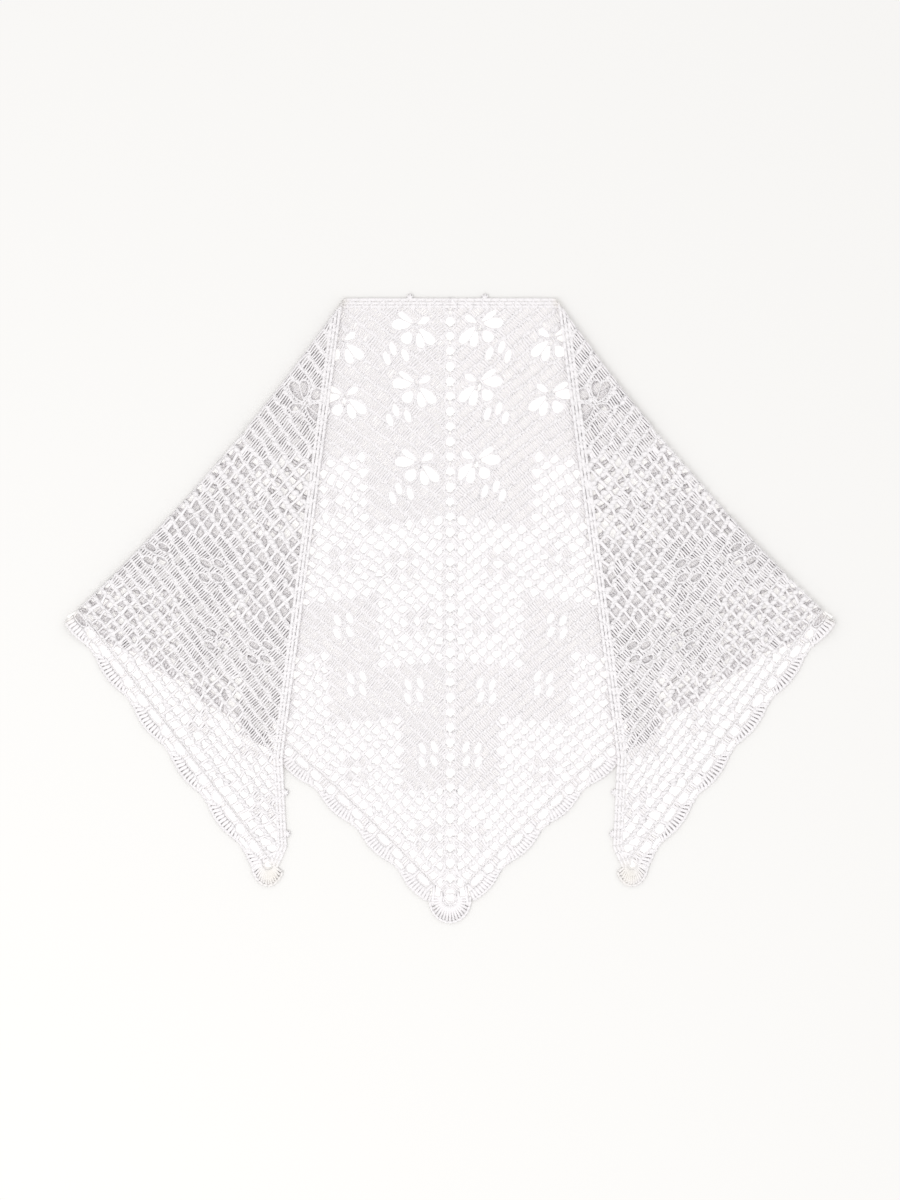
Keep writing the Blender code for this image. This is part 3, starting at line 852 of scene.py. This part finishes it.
def add_rims(stitches, holes, strand, wing, rng, inner=-1.0, width=RIM_WIDTH):
    """Lays a ring of loops round each hole."""
    for hole in holes:
        add_braid(stitches, hole, strand, RIM_PITCH, RIM_OUT, wing, width, rng, inner=inner, holes=holes)


def add_knot(stitches, place, strand, wing):
    """Lays a small knot: three short lengths of yarn across each other."""
    turns = np.radians((20.0, 80.0, 140.0))
    reach = np.stack((np.cos(turns), np.sin(turns)), axis=1) * KNOT / 2
    add_posts(stitches, place - reach, place + reach, strand, wing, KNOT_WIDTH)


OUTLINE_TURN = 0.58


def edge_depth(share):
    """How far the outer line of the edging reaches, at a share of the repeat from the middle of a shell."""
    share = (np.asarray(share) + OUTLINE_TURN) % 1.0 - OUTLINE_TURN
    marks = [along for along, _ in EDGE_OUTLINE] + [1.0 + EDGE_OUTLINE[0][0]]
    depths = [depth for _, depth in EDGE_OUTLINE] + [EDGE_OUTLINE[0][1]]
    return np.interp(np.where(share < marks[0], share + 1.0, share), marks, depths)


CORNER_HOLE = (0.0030, 0.0042)
CORNER_FAN_RIBS = 16
POINT_HOLE = (0.0042, 0.0034)
POINT_FAN_TURNS = (-8.0, 196.0)
POINT_FAN_RIBS = 19
EDGE_START = 0.012
POINT_LEGS = (-0.0118, -0.0062, 0.0062, 0.0118)
POINT_SLOPE = 0.80
EDGE_BASE = 0.0013
EDGE_TIER = 0.0070
EDGE_RIM = 0.0011
EDGE_PITCH = 0.0035
LEG_PITCH = 0.0036
LEG_WIDTH = 1.9
SHELL_POSTS = 13
SHELL_REACH = 0.42
SHELL_FEET = 0.80
SHELL_WIDTH = 2.1
BASE_WIDTH = 0.75
OUTER_WIDTH = 0.85
FAN_WIDTH = 1.5
END_ROOM = 0.002


def edging_area(length):
    """The flat area of a length of the edging."""
    return float(edge_depth(np.linspace(0.0, 1.0, 101)).mean()) * length


def add_edging(stitches, line, first, repeat, count, low, high, wing, kinds, rng, inner=-1.0):
    """Lays the scalloped edging along the last row: its base, legs, shells, loops and outer braid."""
    post, link = kinds["post"], kinds["link"]
    holes = []
    for index in range(-1, count + 1):
        for along, depth, half_length, half_width in EDGE_HOLES:
            place = first + repeat * (index + along)
            along_edge = place + half_length * repeat * np.cos(AROUND)
            outline = line.at(along_edge, depth + half_width * np.sin(AROUND))
            if low + END_ROOM < place < high - END_ROOM and outline[:, 0].min() > inner:
                holes.append(hole_line(outline))
    add_braid(stitches, line, link, EDGE_PITCH, EDGE_BASE, wing, BASE_WIDTH, rng, low, high, inner)
    along = np.arange(low + LEG_PITCH / 2, high, LEG_PITCH)
    feet = line.at(along, EDGE_BASE)
    tops = line.at(along, EDGE_TIER + 0.0006)
    add_posts(stitches, feet, tops, post, wing, LEG_WIDTH, holes, rng, inner)
    feet, tops = [], []
    for index in range(-1, count + 1):
        for share in np.linspace(-SHELL_REACH, SHELL_REACH, SHELL_POSTS):
            place = first + repeat * (index + share)
            if low < place < high:
                start = first + repeat * (index + share * SHELL_FEET)
                feet.append(line.at(start, EDGE_TIER))
                tops.append(line.at(place, float(edge_depth(share)) - EDGE_RIM))
    add_posts(stitches, feet, tops, post, wing, SHELL_WIDTH, holes, rng, inner)
    places = np.arange(low, high, 0.001)
    outline = Line(line.at(places, edge_depth((places - first) / repeat) - EDGE_RIM), outer=line.outer)
    add_braid(stitches, outline, link, EDGE_PITCH, 0.0, wing, OUTER_WIDTH, rng, inner=inner)
    add_rims(stitches, holes, link, wing, rng, inner, EDGE_RIM_WIDTH)


def add_fan(stitches, middle, hole_size, size, start, turn, count, wing, kinds, rng):
    """Lays a fan: ribs from round a hole to an outer line, with a braid round their ends."""
    post, link = kinds["post"], kinds["link"]

    def ring(angles, size, drop=0.0):
        return middle + np.stack((size[0] * np.cos(angles), -size[1] * np.sin(angles)), axis=1) * (1.0 - drop)

    hole = hole_line(ring(AROUND, hole_size))
    angles = np.radians(start + np.linspace(0.0, turn, count))
    feet, tops = ring(angles, hole_size, -0.10), ring(angles, size, 0.06)
    add_posts(stitches, feet, tops, post, wing, FAN_WIDTH, [hole], rng)
    angles = np.radians(start + np.linspace(0.0, turn, 40))
    outline = Line(ring(angles, size), outer=-1)
    add_braid(stitches, outline, link, EDGE_PITCH, -0.0010, wing, OUTER_WIDTH, rng)
    add_rims(stitches, [hole], link, wing, rng)


class Socket:
    """One output socket of a material, so that maths on it is written as an expression."""

    def __init__(self, recipe, socket):
        self.recipe = recipe
        self.socket = socket

    def maths(self, operation, first, second):
        """Adds one maths node."""
        return self.recipe.node("ShaderNodeMath", {"operation": operation}, {0: first, 1: second})

    def __add__(self, other):
        return self.maths("ADD", self, other)

    def __radd__(self, other):
        return self.maths("ADD", other, self)

    def __mul__(self, other):
        return self.maths("MULTIPLY", self, other)

    def __rmul__(self, other):
        return self.maths("MULTIPLY", other, self)


class Recipe:
    """A material's node tree, with one method for any node."""

    def __init__(self, name):
        self.material = bpy.data.materials.new(name)
        self.material.use_nodes = True
        self.tree = self.material.node_tree
        self.shader = self.tree.nodes["Principled BSDF"]

    def node(self, kind, settings=None, inputs=None, output=0):
        """Adds a node, sets it, feeds its inputs and gives one output."""
        made = self.tree.nodes.new(kind)
        for key, value in (settings or {}).items():
            setattr(made, key, value)
        for key, value in (inputs or {}).items():
            self.feed(made.inputs[key], value)
        return Socket(self, made.outputs[output])

    def feed(self, target, value):
        """Links a socket to an input, or sets a plain value."""
        if isinstance(value, Socket):
            self.tree.links.new(value.socket, target)
        else:
            target.default_value = value

    def sine(self, value):
        """The sine of a value."""
        return self.node("ShaderNodeMath", {"operation": "SINE"}, {0: value})

    def mix(self, share, first, second):
        """Mixes two colours."""
        settings = {"data_type": "RGBA"}
        return self.node("ShaderNodeMix", settings, {0: share, 6: first, 7: second}, output=2)


# Where the cotton is made darker and yellower, on each half: the tips and the folded corners.
TIP_TINTS = (
    # place in the plan without its signs, reach
    ((0.2890, 0.0010), 0.016),
    ((0.1340, 0.1990), 0.015),
    ((0.0830, 0.2315), 0.009),
)

COTTON_SURFACE = (
    # socket, value
    ("Roughness", 0.85),
    ("Specular IOR Level", 0.25),
    ("Sheen Weight", 0.15),
    ("Sheen Roughness", 0.6),
)


def cotton(settings):
    """Matt cotton yarn: plied strands, a little uneven in tone, with painted shade on the sides of each
    strand, and darker, yellower near the tips and the folded corners.
    """
    recipe = Recipe("cotton_yarn")
    yarn = recipe.node("ShaderNodeUVMap", {"uv_map": "Yarn"})
    along = recipe.node("ShaderNodeSeparateXYZ", inputs={0: yarn})
    around = Socket(recipe, along.socket.node.outputs[1])
    place = recipe.node("ShaderNodeTexCoord", output="Object")
    patches = recipe.node("ShaderNodeTexNoise", inputs={"Vector": place, "Scale": 60.0, "Detail": 3.0})
    fibres = recipe.node("ShaderNodeTexNoise", inputs={"Vector": place, "Scale": 2600.0, "Detail": 2.0})
    plies = recipe.sine((along * 5.0 + around * 2.0) * math.tau)
    tone = patches * 0.6 + fibres * 0.4
    light = (*settings.yarn_light, 1.0)
    dark = (*settings.yarn_dark, 1.0)
    painted_shade = (*settings.yarn_painted_shade, 1.0)
    # Painted shade: the sides of each strand are mixed towards the shade colour, while its top and underside
    # keep the cotton's own tone.
    facing = recipe.node("ShaderNodeMath", {"operation": "ABSOLUTE"}, {0: recipe.sine(around * math.tau)})
    edges = {"Value": facing, "From Min": 0.1, "From Max": 0.95}
    unshaded_crown = recipe.node("ShaderNodeMapRange", {"interpolation_type": "SMOOTHSTEP"}, edges)
    colour = recipe.mix(unshaded_crown, painted_shade, recipe.mix(tone, dark, light))
    halves = recipe.node("ShaderNodeVectorMath", {"operation": "ABSOLUTE"}, {0: place})
    # Darker and yellower towards the tips and the folded corners.
    for spot, reach in TIP_TINTS:
        ends = {0: halves, 1: (*spot, 0.0)}
        apart = recipe.node("ShaderNodeVectorMath", {"operation": "DISTANCE"}, ends, output=1)
        fade = {"Value": apart, "From Min": reach, "From Max": 0.0, "To Max": 0.7}
        near = recipe.node("ShaderNodeMapRange", {"interpolation_type": "SMOOTHSTEP"}, fade)
        colour = recipe.mix(near, colour, (*settings.tip_tint, 1.0))
    recipe.feed(recipe.shader.inputs["Base Color"], colour)
    relief = plies * 0.5 + fibres * 0.8
    bump = recipe.node("ShaderNodeBump", inputs={"Strength": 0.55, "Distance": 0.00025, "Height": relief})
    recipe.feed(recipe.shader.inputs["Normal"], bump)
    for name, value in COTTON_SURFACE:
        recipe.shader.inputs[name].default_value = value
    return recipe.material


def paper(name, colour, glow):
    """Plain pale paper, which may shine a little of itself."""
    recipe = Recipe(name)
    colour = (*colour, 1.0)
    recipe.feed(recipe.shader.inputs["Base Color"], colour)
    recipe.feed(recipe.shader.inputs["Emission Color"], colour)
    recipe.shader.inputs["Emission Strength"].default_value = glow
    recipe.shader.inputs["Roughness"].default_value = 0.9
    recipe.shader.inputs["Specular IOR Level"].default_value = 0.0
    return recipe.material


def finish_piece(piece, nodes, flat, area, rests_on=(), held="laid"):
    """Gives a piece its cotton, hangs it from the root and hides the solids it stands for."""
    material = bpy.data.materials.get("cotton_yarn") or cotton(bpy.context.scene.kerchief)
    piece.data.materials.append(material)
    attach(piece, "root")
    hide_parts(*nodes)


def strands():
    """The stitches that are copied."""
    post = Strand(POST, sides=5)
    return {"post": post, "link": Strand(LINK), "cord": Strand(CORD), "plain": Strand(PLAIN_POST, sides=4)}


SIDES = (("right", 1), ("left", -1))


def colour_setting(name, description, default):
    """A setting that is a colour."""
    return bpy.props.FloatVectorProperty(name=name, description=description, subtype="COLOR", default=default)


def strength_setting(name, description, default, unit="NONE"):
    """A setting that is a strength, from nothing upwards."""
    return bpy.props.FloatProperty(name=name, description=description, default=default, min=0.0, unit=unit)


class KerchiefSettings(bpy.types.PropertyGroup):
    """What a user would change."""

    yarn_light: colour_setting("Yarn, light", "Colour of the cleanest cotton", (0.945, 0.92, 0.93))
    yarn_dark: colour_setting("Yarn, dark", "Colour of the cotton's darker patches", (0.885, 0.86, 0.87))
    # Painted shade: the colour given to the sides of each strand, standing in for the shade between stitches.
    yarn_painted_shade: colour_setting("Yarn, shade", "Colour of the cotton between stitches", (0.81, 0.78, 0.79))
    # The darker, yellower colour given near the tips and the folded corners.
    tip_tint: colour_setting("Stain", "Colour of the yellowed cotton", (0.86, 0.82, 0.75))
    floor_colour: colour_setting("Floor", "Colour of the floor", (0.86, 0.85, 0.835))
    floor_glow: strength_setting("Backing glow", "How much brighter the sheet under the lace is", 0.42)
    sky: strength_setting("Sky", "Strength of the even light", 1.00)
    lamp: strength_setting("Lamp", "Power of the soft lamp", 6.5, "POWER")


class KERCHIEF_OT_stage(bpy.types.Operator):
    """Sets up the pale floor, the soft light and the camera straight above"""

    bl_idname = "kerchief.stage"
    bl_label = "Stage"

    def execute(self, context):
        """Makes the stage."""
        settings = context.scene.kerchief
        shape = bmesh.new()
        bmesh.ops.create_grid(shape, x_segments=1, y_segments=1, size=FLOOR_SIZE)
        bmesh.ops.translate(shape, verts=shape.verts[:], vec=(0.0, 0.0, FLOOR_HEIGHT))
        self.place(shape, "floor", paper("floor", settings.floor_colour, 0.0))
        shape = bmesh.new()
        along = np.linspace(0.0, 1.0, 40)
        half = [
            FOLD.at(FOLD.length * along, -BACKING_OUT),
            LAST_ROW_WING.at(LAST_ROW_WING.length * along, BACKING_EDGING),
            LONG_SIDE.at(LONG_SIDE.length * (1.0 - 0.3 * along), BACKING_OUT),
            LAST_ROW_BACK.at(LAST_ROW_BACK.length * (0.52 - 0.52 * along), BACKING_EDGING),
        ]
        half = np.concatenate(half)
        outline = np.concatenate((half, half[::-1] * MIRROR[:2]))
        verts = [shape.verts.new((*point, BACKING_HEIGHT)) for point in outline]
        shape.faces.new(verts)
        bmesh.ops.recalc_face_normals(shape, faces=shape.faces[:])
        self.place(shape, "backing", paper("backing", settings.floor_colour, settings.floor_glow))

        world = bpy.data.worlds.new("sky")
        context.scene.world = world
        world.use_nodes = True
        background = world.node_tree.nodes["Background"]
        background.inputs["Color"].default_value = (1.0, 1.0, 1.0, 1.0)
        background.inputs["Strength"].default_value = settings.sky

        lamp = bpy.data.lights.new("soft_lamp", "AREA")
        lamp.energy = settings.lamp
        lamp.size = LAMP_SIZE
        lamp_object = bpy.data.objects.new("soft_lamp", lamp)
        lamp_object.location = LAMP_PLACE
        lamp_object.rotation_euler = Vector(LAMP_PLACE).to_track_quat("Z", "Y").to_euler()
        context.collection.objects.link(lamp_object)

        camera = bpy.data.cameras.new("camera")
        camera.sensor_fit = "VERTICAL"
        camera.sensor_height = 36.0
        camera.lens = camera.sensor_height * CAMERA_HEIGHT / PHOTO_HEIGHT
        camera_object = bpy.data.objects.new("camera", camera)
        camera_object.location = (0.0, VIEW_MIDDLE, CAMERA_HEIGHT)
        context.collection.objects.link(camera_object)
        context.scene.camera = camera_object
        context.scene.view_settings.view_transform = "Standard"
        return {"FINISHED"}

    @staticmethod
    def place(shape, name, material):
        """Makes one flat sheet of the stage."""
        mesh = bpy.data.meshes.new(name)
        shape.to_mesh(mesh)
        shape.free()
        sheet = bpy.data.objects.new(name, mesh)
        bpy.context.collection.objects.link(sheet)
        mesh.materials.append(material)


def add_petal_bars(stitches, butterflies, strand, on_wing, rng):
    """Lays the thin bars that part neighbouring petals of the butterflies of one layer."""
    feet, tops = [], []
    for stitch, row in butterflies:
        knot, along, up, wing = row_frame(stitch, row)
        for angle in PETAL_BARS if wing == on_wing else ():
            out = along * math.cos(math.radians(angle)) + up * math.sin(math.radians(angle))
            feet.append(knot + out * PETAL_BAR_ENDS[0])
            tops.append(knot + out * PETAL_BAR_ENDS[1])
    add_posts(stitches, feet, tops, strand, on_wing, PETAL_BAR_WIDTH, (), rng)


class KERCHIEF_OT_ground(bpy.types.Operator):
    """Lays the ground of the back layer and of both folded-over corners"""

    bl_idname = "kerchief.ground"
    bl_label = "Ground"

    def execute(self, context):
        """Makes four pieces: a back and a wing for each side."""
        kinds = strands()
        backs, wing = {}, Stitches()
        for name, side in SIDES:
            backs[name] = Stitches()
            self.lay_half(backs[name], wing if side > 0 else Stitches(), side, kinds)
        for name, side in SIDES:
            back = backs[name].joined("back_cloth_" + name, side)
            finish_piece(back, ["back_" + name], *BACK_SHEET)
            piece = wing.joined("wing_cloth_" + name, side)
            finish_piece(piece, ["wing_" + name], *WING_SHEET, [back], "folded")
        return {"FINISHED"}

    @staticmethod
    def lay_half(back, wing, side, kinds):
        """Lays the stitches of one half: those of the back layer, and those past the fold."""
        rng = np.random.default_rng(7)
        holes = ground_holes(side)
        posts, links = ground_stitches(2, int(STITCHES_PER_ROW * ROWS))
        for anchors, strand, upright in ((posts, kinds["post"], True), (links, kinds["link"], False)):
            middle = anchors[:, 1] - (0.5 if upright else 0.0)
            place = anchors[:, 0] - (WALE_SHIFT / 2 if upright else 0.0)
            folded = stitches_to_fold(middle)
            on_wing = (place > folded) & (middle > FOLD_ROW)
            points, _ = ground(np.minimum(place, folded), middle)
            covered = ~on_wing & (LONG_SIDE.measure(points)[1] > 0.004) & (points[:, 0] > FOLD_TOP[0])
            add_ground(back, anchors[~on_wing & ~covered], strand, upright, holes, rng)
            below = kinds["post" if upright else "plain"]
            add_ground(back, anchors[~on_wing & covered], below, upright, holes, rng)
            add_ground(wing, anchors[on_wing], strand, upright, holes, rng)
        for stitches, on_wing in ((back, False), (wing, True)):
            layer = [hole for hole, is_wing in holes if is_wing == on_wing]
            add_rims(stitches, layer, kinds["link"], on_wing, rng)
            add_petal_bars(stitches, [*butterflies_of(side), WING_BUTTERFLY], kinds["post"], on_wing, rng)


class KERCHIEF_OT_spine(bpy.types.Operator):
    """Lays the column of eyelets down the middle"""

    bl_idname = "kerchief.spine"
    bl_label = "Spine"

    def execute(self, context):
        """Makes the spine."""
        kinds = strands()
        rng = np.random.default_rng(3)
        stitches = Stitches()
        eyelets = []
        for row in range(ROWS):
            middle = plan(0.0, POINT_DOWN * (row + EYELET_SHARE) / ROWS)
            ring = np.stack((EYELET_HALF[0] * np.cos(AROUND), EYELET_HALF[1] * np.sin(AROUND)), axis=1)
            eyelets.append(hole_line(middle + ring))
        posts, links = ground_stitches(1, 2)
        half = Stitches()
        holes = [(eyelet, False) for eyelet in eyelets]
        add_ground(half, posts, kinds["post"], True, holes, rng)
        add_ground(half, links, kinds["link"], False, holes, rng)
        for strand, laid in half.batches:
            stitches.add(strand, laid)
            stitches.add(strand, laid * MIRROR)
        add_rims(stitches, eyelets, kinds["link"], False, rng)
        feet, tops = [], []
        for row in range(1, ROWS + 1):
            for hand in (-1, 1):
                feet.append(plan(0.0, POINT_DOWN * (row + EYELET_LEGS[0]) / ROWS))
                tops.append(plan(hand * EYELET_LEG_OUT, POINT_DOWN * (row - EYELET_LEGS[1]) / ROWS))
        add_posts(stitches, feet, tops, kinds["post"], False, EYELET_LEG_WIDTH)
        piece = stitches.joined("spine_cloth")
        finish_piece(piece, ["spine"], (2 * SPINE_HALF, POINT_DOWN), None)
        return {"FINISHED"}


class KERCHIEF_OT_bands(bpy.types.Operator):
    """Lays the plain band along the long side"""

    bl_idname = "kerchief.bands"
    bl_label = "Bands"

    def execute(self, context):
        """Makes the top band and one band on each wing."""
        kinds = strands()
        rng = np.random.default_rng(5)
        width = BAND / BAND_BRAIDS
        half = Line([plan(0.0, 0.0), plan(FOLD_TOP[0] + 2 * BAND, 0.0)], outer=-1)
        top, wing = Stitches(), Stitches()
        for braid in range(BAND_BRAIDS):
            out = width * (braid + 0.5)
            end, start = self.crossing(half, out), self.crossing(LONG_SIDE, out)
            add_braid(top, half, kinds["cord"], CORD_PITCH, out, False, 1.0, rng, 0.0, end)
            add_braid(wing, LONG_SIDE, kinds["cord"], CORD_PITCH, out, True, 1.0, rng, start)
        for strand, laid in list(top.batches):
            top.add(strand, laid * MIRROR)
        for across in TOP_KNOTS:
            add_knot(top, plan(across, -0.0004), kinds["post"], False)
        for along in LONG_SIDE_KNOTS:
            add_knot(wing, LONG_SIDE.at(along, -0.0006), kinds["post"], True)
        width = 2 * FOLD_TOP[0] + BAND / 2
        finish_piece(top.joined("band_cloth_top"), ["band_top"], (width, BAND_SHEET_WIDTH), width * BAND)
        for name, side in SIDES:
            piece = wing.joined("band_cloth_" + name, side)
            flat, area = (BAND_SHEET_WIDTH, LONG_SIDE.length), BAND * LONG_SIDE.length
            finish_piece(piece, ["band_wing_" + name], flat, area, ["back_cloth_" + name], "folded")
        return {"FINISHED"}

    @staticmethod
    def crossing(line, out):
        """How far along a line its neighbour, at a distance out from it, crosses the fold."""
        along = np.arange(0.0, line.length, 0.0002)
        beyond = FOLD.measure(line.at(along, out))[1] > -0.0004
        return float(along[np.argmax(beyond != beyond[0])])


class KERCHIEF_OT_edgings(bpy.types.Operator):
    """Lays the scalloped edging along the back layer and the wings, and the fans at the corners"""

    bl_idname = "kerchief.edgings"
    bl_label = "Edgings"

    def execute(self, context):
        """Makes five pieces: two on each side and the fan at the point."""
        kinds = strands()
        rng = np.random.default_rng(9)
        back, wing, point = Stitches(), Stitches(), Stitches()
        low, length = EDGE_START, LAST_ROW_BACK.length
        inner = POINT_SHELL_HALF - 0.0004
        shells = (FIRST_SHELL, BACK_REPEAT, BACK_SHELLS)
        add_edging(back, LAST_ROW_BACK, *shells, low, length, False, kinds, rng, inner)
        reach = LAST_ROW_WING.length - 0.008
        shells = (FIRST_WING_SHELL, WING_REPEAT, WING_SHELLS)
        add_edging(wing, LAST_ROW_WING, *shells, 0.0, reach, True, kinds, rng)
        middle, sizes = plan(*CORNER_FAN), (CORNER_HOLE, CORNER_FAN_SIZE)
        add_fan(wing, middle, *sizes, 0.0, CORNER_FAN_TURN, CORNER_FAN_RIBS, True, kinds, rng)
        size = (POINT_SHELL_HALF, DEPTH - POINT_DOWN)
        middle, turns = plan(0.0, POINT_DOWN - 0.0005), POINT_FAN_TURNS
        add_fan(point, middle, POINT_HOLE, size, *turns, POINT_FAN_RIBS, False, kinds, rng)
        feet = [plan(across, POINT_DOWN - 0.0006 - abs(across) * POINT_SLOPE) for across in POINT_LEGS]
        tops = [plan(across * 1.12, POINT_DOWN + 0.0028) for across in POINT_LEGS]
        add_posts(point, feet, tops, kinds["post"], False, LEG_WIDTH)
        for hand in (-1, 1):
            ends = [plan(hand * along, POINT_DOWN + 0.0022 - along * 0.02) for along in (0.0045, 0.0150)]
            add_braid(point, Line(ends), kinds["link"], EDGE_PITCH, 0.0, False, 0.9)
        fan = math.pi / 2 * CORNER_FAN_SIZE[0] * CORNER_FAN_SIZE[1] * CORNER_FAN_TURN / 180
        for name, side in SIDES:
            piece = back.joined("edging_cloth_" + name, side)
            flat = (EDGING_DEPTH, length - low)
            finish_piece(piece, ["edging_back_" + name], flat, edging_area(length - low))
            piece = wing.joined("edging_wing_cloth_" + name, side)
            area = edging_area(LAST_ROW_WING.length) + fan
            flat = (EDGING_DEPTH, area / EDGING_DEPTH)
            finish_piece(piece, ["edging_wing_" + name], flat, area, ["edging_cloth_" + name], "folded")
        finish_piece(point.joined("point_cloth"), ["point_shell"], *POINT_SHEET)
        return {"FINISHED"}


class KERCHIEF_PT_panel(bpy.types.Panel):
    """Lists the pieces of the kerchief"""

    bl_idname = "KERCHIEF_PT_panel"
    bl_label = "Kerchief"
    bl_space_type = "VIEW_3D"
    bl_region_type = "UI"
    bl_category = "Kerchief"

    def draw(self, context):
        """Draws the settings and one button for each operator."""
        settings = context.scene.kerchief
        for name in KerchiefSettings.__annotations__:
            self.layout.prop(settings, name)
        for operator in OPERATORS:
            self.layout.operator(operator.bl_idname)


OPERATORS = (
    KERCHIEF_OT_stage,
    KERCHIEF_OT_spine,
    KERCHIEF_OT_ground,
    KERCHIEF_OT_bands,
    KERCHIEF_OT_edgings,
)
CLASSES = (KerchiefSettings, *OPERATORS, KERCHIEF_PT_panel)


def register():
    """Adds the settings, the operators and the panel."""
    for item in CLASSES:
        bpy.utils.register_class(item)
    bpy.types.Scene.kerchief = bpy.props.PointerProperty(type=KerchiefSettings)


def unregister():
    """Takes them away again."""
    del bpy.types.Scene.kerchief
    for item in reversed(CLASSES):
        bpy.utils.unregister_class(item)


def main():
    """Builds every piece."""
    register()
    for operator in OPERATORS:
        group, action = operator.bl_idname.split(".")
        getattr(getattr(bpy.ops, group), action)()


if __name__ == "__main__":
    main()
